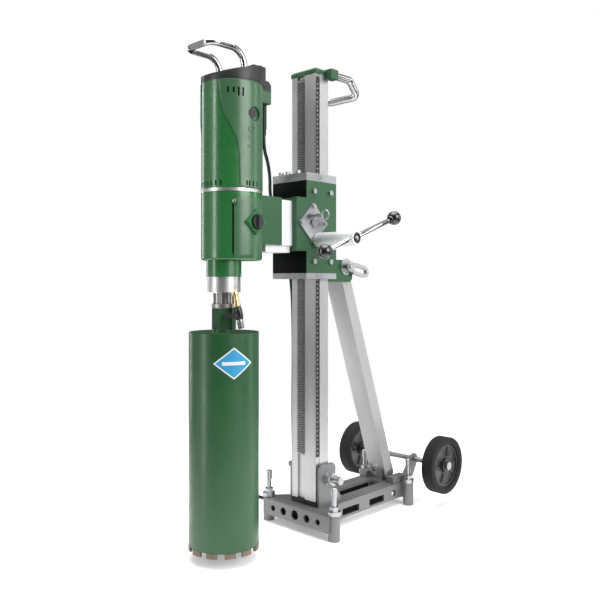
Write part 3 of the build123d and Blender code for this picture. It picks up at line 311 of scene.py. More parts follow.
def chrome_plate(name, colour):
    """Chrome plate: almost a mirror, with faint haze and fingerprints."""
    metal = Finish(name)
    haze = metal.noise(30, 5, 0.65)
    body = metal.ramp(haze, (0.3, rgba(colour, 0.94)), (0.7, rgba(colour)))
    metal.set(Base_Color=body, Metallic=1.0, Roughness=metal.span(haze, 0.13, 0.24))
    metal.set(Normal=metal.bump(metal.noise(160, 3), 0.008, 0.0005))
    return metal.material


def moulding(name, colour, roughness=0.5, grain=900, depth=0.16, coat=0.0, shine=0.5):
    """Moulded plastic: a fine texture from the tool and a slow change of gloss."""
    plastic = Finish(name)
    skin = plastic.noise(grain, 2, 0.5)
    slow = plastic.noise(16, 4)
    body = plastic.ramp(slow, (0.3, rgba(colour, 0.85)), (0.7, rgba(colour, 1.2)))
    plastic.set(Base_Color=body, Roughness=plastic.span(slow, roughness - 0.07, roughness + 0.08))
    plastic.set(Normal=plastic.bump(skin, depth, 0.0004), Coat_Weight=coat, Coat_Roughness=0.08)
    plastic.set(Specular_IOR_Level=shine)
    return plastic.material


def rubber(name, colour, dust=0.1, roughness=0.72):
    """Rubber: matt, with a little pale dust and a soft bloom."""
    soft = Finish(name)
    patches = soft.noise(14, 6, 0.7)
    fine = soft.noise(420, 3)
    pale = soft.ramp(patches, (0.45, (0, 0, 0)), (0.8, (0.5, 0.48, 0.45)))
    body = soft.mix(dust, rgba(colour), pale, "SCREEN")
    soft.set(Base_Color=body, Roughness=soft.span(patches, roughness - 0.1, roughness + 0.1))
    soft.set(Normal=soft.bump(fine, 0.2, 0.0004), Sheen_Weight=0.03, Sheen_Roughness=0.5, Specular_IOR_Level=0.3)
    return soft.material


def sinter(name, colour):
    """Sintered cutting metal: a rough matrix with bright and dark grains in it."""
    grit = Finish(name)
    cells = grit.add("ShaderNodeTexVoronoi")
    cells.inputs["Scale"].default_value = 900
    grit.link(grit.place, cells.inputs["Vector"])
    clouds = grit.noise(60, 5)
    body = grit.ramp(clouds, (0.3, rgba(colour, 0.6)), (0.7, rgba(colour, 1.4)))
    grains = grit.ramp(cells.outputs["Distance"], (0.1, (0.75, 0.7, 0.6)), (0.3, (0, 0, 0)))
    grit.set(Base_Color=grit.mix(0.3, body, grains, "SCREEN"), Metallic=0.6)
    grit.set(Roughness=grit.span(clouds, 0.5, 0.8), Normal=grit.bump(cells.outputs["Distance"], 0.5, 0.0008))
    return grit.material


def windings(name):
    """Varnished iron stacks and copper windings, banded along the height."""
    iron = Finish(name)
    bands = iron.add("ShaderNodeTexWave", bands_direction="Z")
    bands.inputs["Scale"].default_value = 320
    bands.inputs["Distortion"].default_value = 0.6
    iron.link(iron.place, bands.inputs["Vector"])
    body = iron.ramp(bands.outputs["Fac"], (0.3, (0.1, 0.08, 0.07)), (0.7, (0.42, 0.2, 0.09)))
    iron.set(Base_Color=body, Metallic=0.7, Roughness=iron.span(iron.noise(80), 0.35, 0.6))
    iron.set(Normal=iron.bump(bands.outputs["Fac"], 0.3, 0.0005))
    return iron.material


def finish_recipes(colours):
    """Every finish of the rig by name: the function that makes it and its values."""
    green, cover_green, bit_green = colours.motor_green, colours.cover_green, colours.bit_green
    return {
        "green_enamel": (enamel, green, 0.28, 0.7),
        "cover_enamel": (enamel, cover_green, 0.33),
        "bit_enamel": (enamel, bit_green, 0.36, 0.2),
        "carriage_enamel": (enamel, colours.carriage_green, 0.42, 0.1),
        "label_blue": (enamel, (0.03, 0.3, 0.55), 0.35, 0.3),
        "label_white": (enamel, (0.75, 0.78, 0.8), 0.35, 0.3),
        "switch_casing": (two_tone, cover_green, (0.028, 0.028, 0.032), 894),
        "spindle_finish": (two_tone, bit_green, (0.42, 0.41, 0.4), 471.5, 0, 1),
        "anodised": (drawn_metal, (0.6, 0.6, 0.6), 0.36, (900, 900, 5), 0.12),
        "rack_steel": (drawn_metal, (0.34, 0.34, 0.35), 0.38, (60, 700, 700), 0.2),
        "zinc": (plating, (0.5, 0.51, 0.525), 0.3),
        "dark_bolt": (plating, (0.09, 0.09, 0.095), 0.38),
        "silver": (silver_paint, colours.silver),
        "strut_silver": (silver_paint, colours.strut_silver),
        "chrome": (chrome_plate, (0.6, 0.61, 0.625)),
        "turned": (drawn_metal, (0.7, 0.7, 0.71), 0.38, (6, 6, 1400), 0.12),
        "crank_tube": (drawn_metal, (0.9, 0.9, 0.91), 0.45, (1400, 6, 6), 0.1, 0.7),
        "spacer": (drawn_metal, (0.93, 0.93, 0.94), 0.5, (400, 30, 5), 0.06, 0.25),
        "black": (moulding, (0.022, 0.022, 0.024), 0.48),
        # near-black with little shine, used as painted shade: in the motor's slots, the gearbox groove, the knob's
        # recess, the carriage's front faces and the base's hollow
        "black_flat": (moulding, (0.002, 0.004, 0.0025), 0.75, 500, 0.1, 0.0, 0.12),
        "cap_black": (moulding, (0.026, 0.025, 0.026), 0.45, 1200, 0.14),
        "ball": (moulding, (0.012, 0.012, 0.013), 0.18, 300, 0.02, 0.9),
        "shoe": (moulding, (0.3, 0.22, 0.12), 0.5, 500, 0.1),
        "tyre": (rubber, (0.006, 0.0057, 0.0055), 0.03),
        "rim": (moulding, (0.006, 0.006, 0.0065), 0.34, 700, 0.08),
        "lead": (rubber, (0.012, 0.03, 0.015), 0.04, 0.5),
        "brass": (plating, (0.66, 0.47, 0.2), 0.3),
        "iron": (windings,),
        "segment": (sinter, (0.2, 0.155, 0.12)),
        "ladder": (moulding, (0.02, 0.02, 0.02), 0.5, 800, 0.1),
    }


# the finish of each slot of the frame's parts, and of the parts that differ from their slot
SLOT_FINISHES = {
    "green_paint": "green_enamel", "bit_paint": "bit_enamel", "column_aluminium": "anodised",
    "rack_steel": "rack_steel", "bright_steel": "zinc", "plate_steel": "silver", "chrome": "chrome",
    "cast_aluminium": "turned", "black_plastic": "black", "shoe_plastic": "shoe", "tyre_rubber": "tyre",
    "rim_plastic": "rim", "cord_rubber": "lead", "brass": "brass", "motor_iron": "iron",
    "segment_metal": "segment"}
PART_FINISHES = {
    "switch_box": "switch_casing", "carriage_housing": "carriage_enamel", "strut_clamp": "carriage_enamel",
    "motor_bracket": "carriage_enamel", "top_cap": "carriage_enamel", "crank": "crank_tube",
    "spacer": "spacer", "ladder_strip": "ladder", "spindle": "spindle_finish", "strut": "strut_silver"}


# ---------------------------------------------------------------- modelling by hand
def clear():
    """Leaves edit mode and deselects everything."""
    if bpy.context.object is not None and bpy.context.object.mode != "OBJECT":
        bpy.ops.object.mode_set(mode="OBJECT")
    bpy.ops.object.select_all(action="DESELECT")


def pick(piece):
    """Makes one piece the selected and active one."""
    clear()
    piece.select_set(True)
    bpy.context.view_layer.objects.active = piece
    return piece


def settle(name):
    """Names the new primitive and puts its place, turn and scale into its mesh."""
    piece = bpy.context.object
    piece.name = name
    piece.data.name = name
    bpy.ops.object.transform_apply(location=True, rotation=True, scale=True)
    return piece


def drum(name, radius, low, high, x=0.0, y=0.0, sides=96, axis="Z"):
    """A round primitive along an axis between two limits; x and y are its other two coordinates in order."""
    clear()
    middle = (low + high) / 2
    place = {"Z": (x, y, middle), "X": (middle, x, y), "Y": (x, middle, y)}[axis]
    turn = {"Z": (0, 0, 0), "X": (0, math.pi / 2, 0), "Y": (math.pi / 2, 0, 0)}[axis]
    bpy.ops.mesh.primitive_cylinder_add(
        vertices=sides, radius=radius * MM, depth=(high - low) * MM, location=at(*place), rotation=turn)
    return settle(name)


def slab(name, x, y, z):
    """A rectangular primitive between three pairs of limits."""
    clear()
    middle = at(*[(pair[0] + pair[1]) / 2 for pair in (x, y, z)])
    bpy.ops.mesh.primitive_cube_add(size=1, location=middle)
    bpy.context.object.scale = [(pair[1] - pair[0]) * MM for pair in (x, y, z)]
    return settle(name)


def ring(name, radius, thickness, place, axis="Z", sides=48):
    """A round ring centred on a place, its hole along an axis."""
    clear()
    turn = {"Z": (0, 0, 0), "X": (0, math.pi / 2, 0), "Y": (math.pi / 2, 0, 0)}[axis]
    bpy.ops.mesh.primitive_torus_add(
        major_radius=radius * MM, minor_radius=thickness / 2 * MM, major_segments=sides, minor_segments=12,
        location=at(*place), rotation=turn)
    return settle(name)


def turn_piece(piece, angle, centre, axis="Z"):
    """Turns a piece's mesh about a place, in degrees."""
    middle = at(*centre)
    turned = Matrix.Translation(middle) @ Matrix.Rotation(math.radians(angle), 4, axis) @ Matrix.Translation(-middle)
    piece.data.transform(turned)
    return piece


def apply_modifier(piece, kind, **settings):
    """Adds a modifier with its settings and applies it."""
    pick(piece)
    bpy.ops.object.modifier_add(type=kind)
    modifier = piece.modifiers[-1]
    for key, value in settings.items():
        setattr(modifier, key, value)
    bpy.ops.object.modifier_apply(modifier=modifier.name)
    return piece


def cut(piece, *cutters, operation="DIFFERENCE"):
    """Takes cutters away from a piece, or joins them with it, and removes them."""
    for cutter in cutters:
        apply_modifier(piece, "BOOLEAN", object=cutter, operation=operation, solver="EXACT")
        bpy.data.objects.remove(cutter)
    return piece


def soften(piece, width, segments=2, angle=35):
    """Rounds the sharp edges."""
    return apply_modifier(
        piece, "BEVEL", width=width * MM, segments=segments, limit_method="ANGLE", angle_limit=math.radians(angle),
        harden_normals=False)


def join(name, *pieces):
    """Makes one piece of several."""
    clear()
    for piece in pieces:
        piece.select_set(True)
    bpy.context.view_layer.objects.active = pieces[0]
    bpy.ops.object.join()
    pieces[0].name = name
    return pieces[0]


def give(piece, body, slot, finish, *replaced, smooth=35):
    """Gives a finished piece its material, the parts that it stands for and, unless it bends, its body; the slot
    argument is not used.
    """
    pick(piece)
    if piece.type == "MESH" and smooth:
        bpy.ops.object.shade_smooth_by_angle(angle=math.radians(smooth))
    piece.data.materials.clear()
    piece.data.materials.append(bpy.data.materials[finish])
    if body:
        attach(piece, body)
    if replaced:
        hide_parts(*replaced)
    clear()
    return piece


def wrapped_sheet(name, radius, centre_y, rows, columns, edge_left, edge_right, low, high, thickness, bevel=0.5):
    """A curved cover on a round body: a grid whose sides follow two edges, given as angle by height."""
    clear()
    bpy.ops.mesh.primitive_grid_add(x_subdivisions=columns, y_subdivisions=rows, size=1, location=(0, 0, 0))
    piece = bpy.context.object
    piece.name = name
    for vertex in piece.data.vertices:
        height = low + (high - low) * (vertex.co.y + 0.5)
        left, right = edge_left(height), edge_right(height)
        angle = math.radians(left + (right - left) * (vertex.co.x + 0.5))
        vertex.co = at(radius * math.cos(angle), centre_y + radius * math.sin(angle), height)
    apply_modifier(piece, "SOLIDIFY", thickness=thickness * MM, offset=-1)
    if bevel:
        soften(piece, bevel, 2, 40)
    return piece


def eased(points):
    """A smooth curve through (height, value) points, as a function of height."""
    def value(height):
        if height <= points[0][0]:
            return points[0][1]
        for (low, first), (high, second) in zip(points, points[1:]):
            if height <= high:
                share = (height - low) / (high - low)
                return first + (second - first) * (share + share * share * (3 - 2 * share)) / 2
        return points[-1][1]
    return value


def cutter_on_side(name, angle, low, high, width, radius, depth, centre_y=MOTOR_Y):
    """A rounded upright cutter that reaches into a round body at an angle."""
    piece = slab(name, (radius - depth, radius + 6), (-width / 2 + centre_y, width / 2 + centre_y), (low, high))
    apply_modifier(piece, "BEVEL", width=width * 0.45 * MM, segments=3)
    return turn_piece(piece, angle, (0, centre_y, 0))


# ---------------------------------------------------------------- settings
class RigColours(bpy.types.PropertyGroup):
    """Colours of the painted parts."""

    motor_green: bpy.props.FloatVectorProperty(
        name="Motor Green", description="Enamel of the motor and gearbox", subtype="COLOR",
        default=(0.019, 0.15, 0.036), min=0, max=1)
    cover_green: bpy.props.FloatVectorProperty(
        name="Cover Green", description="Enamel of the side covers on the motor and gearbox", subtype="COLOR",
        default=(0.045, 0.135, 0.06), min=0, max=1)
    carriage_green: bpy.props.FloatVectorProperty(
        name="Carriage Green", description="Enamel of the carriage, the bracket and the clamp", subtype="COLOR",
        default=(0.019, 0.095, 0.034), min=0, max=1)
    bit_green: bpy.props.FloatVectorProperty(
        name="Bit Green", description="Enamel of the crown bit", subtype="COLOR",
        default=(0.014, 0.08, 0.024), min=0, max=1)
    silver: bpy.props.FloatVectorProperty(
        name="Base Silver", description="Paint of the base", subtype="COLOR",
        default=(0.215, 0.215, 0.212), min=0, max=1)
    strut_silver: bpy.props.FloatVectorProperty(
        name="Strut Silver", description="Paint of the strut", subtype="COLOR",
        default=(0.48, 0.48, 0.475), min=0, max=1)


class RigSizes(bpy.types.PropertyGroup):
    """Sizes of the fittings that are added to the frame."""

    vent_width: bpy.props.FloatProperty(
        name="Vent Width", description="Width of a cooling slot in the motor, mm", default=3.2, min=1, max=6)
    cover_rise: bpy.props.FloatProperty(
        name="Cover Rise", description="How far the side covers stand out from the motor, mm", default=1.4,
        min=0.5, max=4)
    ball_diameter: bpy.props.FloatProperty(
        name="Ball Diameter", description="Diameter of the feed bar's balls, mm", default=29, min=15, max=40)
    floor_size: bpy.props.FloatProperty(
        name="Floor Size", description="Side of the floor under the rig", default=4, min=3, unit="LENGTH")


class RIG_OT_finishes(bpy.types.Operator):
    """Makes every material and gives the frame's own parts theirs"""

    bl_idname = "rig.finishes"
    bl_label = "Finishes"

    def execute(self, context):
        recipes = finish_recipes(context.scene.rig_colours)
        made = {name: maker(name, *values) for name, (maker, *values) in recipes.items()}
        for part in frame["record"]["subparts"]:
            node = part["node"]
            finish = PART_FINISHES.get(node, SLOT_FINISHES[part["material_slot"]])
            mesh = frame["nodes"][node].data
            mesh.materials.clear()
            mesh.materials.append(made[finish])
        return {"FINISHED"}


class RIG_OT_motor(bpy.types.Operator):
    """Models the motor's shell with its cooling slots, a near-black drum inside as painted shade in them, side
    cover, raised rings and cap
    """

    bl_idname = "rig.motor"
    bl_label = "Motor"

    def execute(self, context):
        sizes = context.scene.rig_sizes
        lower_vents = [(angle, *LOWER_VENT_SPAN) for angle in LOWER_VENT_ANGLES]
        vents = [*UPPER_VENTS, *lower_vents]
        vents += [(180 - angle, low, high) for angle, low, high in vents]

        shell = drum("motor_shell", MOTOR_RADIUS - 0.2, MOTOR_LOW, MOTOR_HIGH, 0, MOTOR_Y, 160)
        crease = eased(COVER_CREASE)
        cover = wrapped_sheet(
            "motor_cover", MOTOR_RADIUS + sizes.cover_rise, MOTOR_Y, 60, 90, crease,
            lambda height: 180 - crease(height), MOTOR_LOW + 0.3, MOTOR_HIGH - 0.2, sizes.cover_rise + 1.2, 0.9)
        for piece in (shell, cover):
            for number, (angle, low, high) in enumerate(vents):
                vent = cutter_on_side(
                    f"vent_{number}", angle, low, high, sizes.vent_width, MOTOR_RADIUS, VENT_DEPTH)
                cut(piece, vent)
        for side in (-1, 1):
            well = drum("well", 13.5, side * 57.5 - 8, side * 57.5 + 8, BRUSH_Y, BRUSH_Z, 48, "X")
            cut(cover, well)
        give(shell, "carriage", "green_paint", "green_enamel", "motor_housing")
        give(cover, "carriage", "green_paint", "cover_enamel")
        # a near-black drum inside the shell, seen through the cooling slots: painted shade in them
        vent_shade = drum("motor_liner", MOTOR_RADIUS - 3.5, MOTOR_LOW + 1, MOTOR_HIGH - 1, 0, MOTOR_Y, 96)
        give(soften(vent_shade, 1), "carriage", "black_plastic", "black_flat")

        for angle, height, radius in RAISED_RINGS:
            mark = ring(f"boss_{height:.0f}", radius, 1.1, (MOTOR_RADIUS + 1.5, MOTOR_Y, height), "X", 32)
            turn_piece(mark, angle, (0, MOTOR_Y, 0))
            give(mark, "carriage", "green_paint", "cover_enamel")
        for side in (-1, 1):
            rim = ring(f"brush_ring_{side + 1}", 12.6, 2.0, (side * 58.6, BRUSH_Y, BRUSH_Z), "X", 48)
            give(rim, "carriage", "black_plastic", "black")
        self.cap()
        return {"FINISHED"}

    def cap(self):
        """The black cap: its top climbs to a hood behind."""
        cap = drum("motor_head", MOTOR_RADIUS + 0.4, MOTOR_HIGH, 960, 0, MOTOR_Y, 160)
        wedge = slab("wedge", (-80, 80), (MOTOR_Y - 90, MOTOR_Y + 90), (CAP_SLOPE_Z, 1010))
        cut(cap, turn_piece(wedge, CAP_SLOPE, (0, MOTOR_Y, CAP_SLOPE_Z), "X"))
        hood = slab("hood", (-31, 31), (-190, -158.5), (900, 938))
        cut(cap, hood, operation="UNION")
        for side in (-1, 1):
            cut(cap, drum("bore", HANDLE_BORE, 905, 960, side * HANDLE_X, MOTOR_Y, 32))
        soften(cap, 1.8, 3, 30)
        give(cap, "carriage", "black_plastic", "cap_black", "motor_cap")


class RIG_OT_gearbox(bpy.types.Operator):
    """Models the gearbox's side cover and screw, a near-black strip as painted shade of its groove, and a near-black
    ring and disc as painted shade of the knob's recess
    """

    bl_idname = "rig.gearbox"
    bl_label = "Gearbox"

    def execute(self, context):
        cover = wrapped_sheet(
            "gearbox_cover", MOTOR_RADIUS + 1.6, MOTOR_Y, 20, 40, lambda height: GEARBOX_EDGE, lambda height: 36,
            GEARBOX_LOW + 5, GEARBOX_HIGH - 4, 1.9, 0.8)
        cut(cover, cutter_on_side("keyhole", -36, 660, 690, 9, MOTOR_RADIUS, 9))
        give(cover, "carriage", "green_paint", "cover_enamel")
        # a near-black strip beside the cover's edge: painted shade of the groove there
        groove = wrapped_sheet(
            "gearbox_groove_shade", MOTOR_RADIUS + 0.35, MOTOR_Y, 6, 2, lambda height: -39.3, lambda height: -36.4,
            GEARBOX_LOW + 12, GEARBOX_HIGH - 12, 0.6, 0)
        give(groove, "carriage", "black_plastic", "black_flat")
        screw = drum("gearbox_screw", 4.2, MOTOR_RADIUS - 2, MOTOR_RADIUS + 2.2, MOTOR_Y, GEARBOX_SCREW_Z, 32, "X")
        cut(screw, drum("socket", 2.2, MOTOR_RADIUS, MOTOR_RADIUS + 4, MOTOR_Y, GEARBOX_SCREW_Z, 6, "X"))
        turn_piece(soften(screw, 0.5), GEARBOX_EDGE, (0, MOTOR_Y, 0))
        give(screw, "carriage", "bright_steel", "zinc")
        # a near-black ring and disc on the knob stand for its recess: painted shade
        boss = ring("knob_ring", 13.4, 1.8, (66.2, KNOB_Y, KNOB_Z), "X", 48)
        give(boss, "carriage", "black_plastic", "black_flat")
        disc = drum("knob_recess", 12.8, 64, 66.3, KNOB_Y, KNOB_Z, 48, "X")
        give(soften(disc, 0.3), "carriage", "black_plastic", "black_flat")
        return {"FINISHED"}


class RIG_OT_bit_label(bpy.types.Operator):
    """Models the plain diamond label on the bit"""

    bl_idname = "rig.bit_label"
    bl_label = "Bit Label"

    def execute(self, context):
        for name, half_angle, half_height, rise, finish in (
                ("label_edge", 33, 29, 0.35, "label_white"), ("label_field", 29.5, 26, 0.55, "label_blue"),
                ("label_stripe", 19, LABEL_STRIPE_HALF, 0.75, "label_white")):
            def reach(height, half_angle=half_angle, half_height=half_height, straight=name == "label_stripe"):
                return half_angle * (1 if straight else max(0.0, 1 - abs(height - LABEL_Z) / half_height))
            sheet = wrapped_sheet(
                name, BIT_RADIUS + rise, SPINDLE_Y, 24, 24, lambda height: LABEL_ANGLE - reach(height),
                lambda height: LABEL_ANGLE + reach(height), LABEL_Z - half_height * LABEL_TRIM,
                LABEL_Z + half_height * LABEL_TRIM, 0.3, 0)
            give(sheet, "spindle", "bit_paint", finish)
        return {"FINISHED"}


class RIG_OT_carriage(bpy.types.Operator):
    """Models near-black plates on the carriage's front faces: painted shade, as those faces lie away from the light
    """

    bl_idname = "rig.carriage"
    bl_label = "Carriage"

    def execute(self, context):
        # near-black plates on the front faces: painted shade
        half = CARRIAGE_HALF - 0.4
        for name, low, high in FRONT_SHADE_PLATES:
            shade_plate = slab(name, (-half, half), (CARRIAGE_FRONT - 1.6, CARRIAGE_FRONT + 1), (low, high))
            give(soften(shade_plate, 0.6), "carriage", "black_plastic", "black_flat")
        return {"FINISHED"}


class RIG_OT_feed_bar(bpy.types.Operator):
    """Models the feed bar, a chromed rod with black balls, and the crank's end with its nut"""

    bl_idname = "rig.feed_bar"
    bl_label = "Feed Bar"

    def execute(self, context):
        sizes = context.scene.rig_sizes
        low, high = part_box("tommy_bar")
        radius = sizes.ball_diameter / 2 * MM
        middle_x = (low.x + high.x) / 2
        front = Vector((middle_x, low.y + radius, low.z + radius))
        rear = Vector((middle_x, high.y - radius, high.z - radius))
        along = (rear - front).normalized()
        turn = along.to_track_quat("Z", "Y")

        def rod(name, start, end, width, sides=32):
            clear()
            bpy.ops.mesh.primitive_cylinder_add(
                vertices=sides, radius=width, depth=(end - start).length, location=(start + end) / 2,
                rotation=turn.to_euler())
            return settle(name)

        bar = rod("feed_rod", front, rear, 5 * MM)
        give(soften(bar, 0.6), "bar", "chrome", "chrome", "tommy_bar")
        for name, centre, inward in (("front", front, along), ("rear", rear, -along)):
            clear()
            bpy.ops.mesh.primitive_uv_sphere_add(
                segments=48, ring_count=32, radius=radius, location=centre, rotation=turn.to_euler())
            ball = settle(f"ball_{name}")
            neck = rod(f"neck_{name}", centre + inward * radius * 0.7, centre + inward * radius * 1.12, 7.5 * MM)
            cut(ball, neck, operation="UNION")
            give(soften(ball, 0.5, 2, 30), "bar", "black_ball", "ball", "tommy_bar", smooth=40)
        socket = drum("crank_end", 10.8, 154, 158.4, CRANK_Y, CRANK_Z, 48, "X")
        cut(socket, drum("well", 7.5, 156.4, 160, CRANK_Y, CRANK_Z, 40, "X"))
        give(soften(socket, 0.4), "crank", "black_plastic", "dark_bolt")
        nut = drum("crank_nut", 5.2, 155, 158.8, CRANK_Y, CRANK_Z, 6, "X")
        give(soften(nut, 0.4), "crank", "bright_steel", "zinc")
        return {"FINISHED"}


class RIG_OT_valve(bpy.types.Operator):
    """Models the water valve: a brass tail, a dark body and a plated hose end"""

    bl_idname = "rig.valve"
    bl_label = "Water Valve"

    def execute(self, context):
        top, foot = Vector((33, -240, 504)), Vector((46, -234, 432))
        along = foot - top
        turn = along.to_track_quat("Z", "Y")

        def barrel(name, start, end, wide, narrow, sides=24):
            clear()
            bpy.ops.mesh.primitive_cone_add(
                vertices=sides, radius1=wide * MM, radius2=narrow * MM, depth=along.length * (end - start) * MM,
                location=at(*(top + along * (start + end) / 2)), rotation=turn.to_euler())
            return settle(name)

        tail = join("valve_tail", barrel("tail", 0.0, 0.12, 6.5, 6.5, 6), barrel("tail", 0.1, 0.36, 4.6, 5.6),
                    barrel("tail", 0.3, 0.4, 7.2, 7.2, 6))
        give(soften(tail, 0.4), "carriage", "brass", "brass", "water_valve")
        body = join("valve_body", barrel("body", 0.4, 0.52, 6.4, 8.2), barrel("body", 0.5, 0.68, 8.4, 8.4, 8),
                    barrel("body", 0.66, 0.74, 8.2, 6.0))
        give(soften(body, 0.5), "carriage", "black_plastic", "dark_bolt", "water_valve")
        ribs = [barrel("end", 0.72, 0.8, 5.4, 5.4)]
        ribs += [barrel("end", start, start + 0.065, 6.8, 5.2) for start in (0.78, 0.84, 0.9)]
        give(soften(join("valve_end", *ribs), 0.3), "carriage", "bright_steel", "zinc", "water_valve")
        return {"FINISHED"}


class RIG_OT_wheels(bpy.types.Operator):
    """Models the wheels: solid tyres on rims with five pockets, and bearing hubs"""

    bl_idname = "rig.wheels"
    bl_label = "Wheels"

    def execute(self, context):
        for name, side in (("left", -1), ("right", 1)):
            middle = side * WHEEL_X
            rim = drum("rim", 49.5, middle - 10.5, middle + 10.5, WHEEL_Y, WHEEL_Z, 96, "X")
            for face in (-1, 1):
                dish = drum("dish", 43.5, middle + face * 8, middle + face * 14, WHEEL_Y, WHEEL_Z, 80, "X")
                cut(rim, dish)
                hub = drum("hub", 17, middle + face * 4, middle + face * 13, WHEEL_Y, WHEEL_Z, 48, "X")
                cut(rim, hub, operation="UNION")
                for pocket in range(5):
                    cutter = self.pocket(middle + face * 9.5, pocket * 72)
                    cut(rim, cutter)
            cut(rim, drum("bore", 11.5, middle - 20, middle + 20, WHEEL_Y, WHEEL_Z, 48, "X"))
            give(soften(rim, 0.9), f"wheel_{name}", "rim_plastic", "rim", f"rim_{name}")
            bearing = drum(f"bearing_{name}", 11.4, middle - 12, middle + 12, WHEEL_Y, WHEEL_Z, 48, "X")
            cut(bearing, drum("bore", 6.1, middle - 20, middle + 20, WHEEL_Y, WHEEL_Z, 32, "X"))
            for face in (-1, 1):
                cut(bearing, self.groove(middle + face * 12))
            give(soften(bearing, 0.4), f"wheel_{name}", "bright_steel", "zinc")
            tyre = drum(f"tyre_solid_{name}", 65, middle - 14, middle + 14, WHEEL_Y, WHEEL_Z, 128, "X")
            cut(tyre, drum("bore", 49.4, middle - 20, middle + 20, WHEEL_Y, WHEEL_Z, 96, "X"))
            for face in (-1, 1):
                step = drum("step", 53.5, middle + face * 12.6, middle + face * 20, WHEEL_Y, WHEEL_Z, 96, "X")
                cut(tyre, step)
            give(soften(tyre, 4.0, 5, 50), f"wheel_{name}", "tyre_rubber", "tyre", f"tyre_{name}")
        return {"FINISHED"}

    def pocket(self, x, angle):
        """A wedge-shaped pocket cutter between two spokes, narrow at the hub."""
        clear()
        bpy.ops.mesh.primitive_cube_add(size=1, location=at(x, WHEEL_Y, WHEEL_Z + 31))
        bpy.context.object.scale = (8 * MM, 22 * MM, 21 * MM)
        cutter = settle("pocket")
        low = min(vertex.co.z for vertex in cutter.data.vertices)
        for vertex in cutter.data.vertices:
            if vertex.co.z < low + MM:
                vertex.co.y = CENTRE_Y + WHEEL_Y * MM + (vertex.co.y - CENTRE_Y - WHEEL_Y * MM) * 0.5
        soften(cutter, 2, 2)
        return turn_piece(cutter, angle, (x, WHEEL_Y, WHEEL_Z), "X")

    def groove(self, x):
        """A ring cutter for a bearing's face."""
        cutter = drum("groove", 9.8, x - 1.2, x + 1.2, WHEEL_Y, WHEEL_Z, 48, "X")
        return cut(cutter, drum("core", 7.8, x - 3, x + 3, WHEEL_Y, WHEEL_Z, 48, "X"))


class RIG_OT_base(bpy.types.Operator):
    """Models near-black boards inside the hollow base: painted shade in its hollow"""

    bl_idname = "rig.base"
    bl_label = "Base Boards"

    def execute(self, context):
        # near-black boards in the base's hollow: painted shade
        front = slab("board_front", (-87, 87), (-40, -26), (SHADE_BOARD_LOW, SHADE_BOARD_HIGH))
        give(soften(front, 1), "base", "black_plastic", "black_flat")
        for name, side in (("left", -1), ("right", 1)):
            reach = sorted((side * 46.4, side * 22))
            base_shade = slab(f"board_{name}", reach, (36, 228), (SHADE_BOARD_LOW, SHADE_BOARD_HIGH))
            give(soften(base_shade, 1), "base", "black_plastic", "black_flat")
        return {"FINISHED"}


# ---- the lead's route points, and the coil that stores the rest of it
UPPER_ROUTE = (
    (12, -146, 811), (12, -146, 784), (-10, -114, 764), (-35, -84, 736), (-54, -67, 711), (-61, -50, 672),
    (-64, -26, 624), (-65, 0, 568), (-65, 11, 505), (-64, 13, 440), (-64, 14, 360), (-65, 14, 280), (-62, 11, 210),
    (-60, 10, 150), (-60, 10, 126))
LOWER_ROUTE = (
    (-60, 10, 116), (-61, 16, 92), (-66, 36, 72), (-72, 58, 54), (-79, 68, 31), (-94, 72, 9), (-122, 66, 3.7),
    (-172, 57, 3.7), (-231, 56, 3.7))
COIL_X, COIL_Y = -256, 9
COIL_STEPS = 24
LAYER_TURNS = 3
COIL_LAYERS = 3
COIL_FIRST = 33
COIL_SPREAD = 14
LAYER_RISE = 7.1
LYING = 3.7
COIL_START = 62
PLUG_ROUTE = ((0, 47, 19), (-20, 51, 25), (-36, 49, 32), (-44, 42, 36), (-45, 34, 36.6), (-45, 24, 36.6))


def coil_turns():
    """Three layers of three turns, wound inwards, outwards and inwards again."""
    points = []
    layer_steps = LAYER_TURNS * COIL_STEPS
    for step in range(1, COIL_LAYERS * layer_steps):
        layer, within = divmod(step, layer_steps)
        share = within / layer_steps
        radius = COIL_FIRST + COIL_SPREAD * (share if layer == 1 else 1 - share)
        lift = min(1.0, within / (COIL_STEPS / 3)) if layer else 1.0
        height = LYING + LAYER_RISE * (layer - 1 + lift) if layer else LYING
        angle = math.radians(COIL_START) + 2 * math.pi * step / COIL_STEPS
        points.append((COIL_X + radius * math.cos(angle), COIL_Y + radius * math.sin(angle), height))
    return points


def route_curve(name, route, diameter):
    """A round lead on one smooth spline, and the points of its centre line."""
    line = bpy.data.curves.new(name, "CURVE")
    line.dimensions = "3D"
    spline = line.splines.new("NURBS")
    spline.points.add(len(route) - 1)
    for point, place in zip(spline.points, route):
        point.co = (*at(*place), 1)
    spline.order_u = 3
    spline.use_endpoint_u = True
    spline.resolution_u = 8
    piece = bpy.data.objects.new(name, line)
    bpy.context.scene.collection.objects.link(piece)
    path = [vertex.co.copy() for vertex in bpy.data.meshes.new_from_object(piece).vertices]
    line.bevel_depth = diameter / 2 * MM
    line.bevel_resolution = 4
    line.use_fill_caps = True
    return piece, path


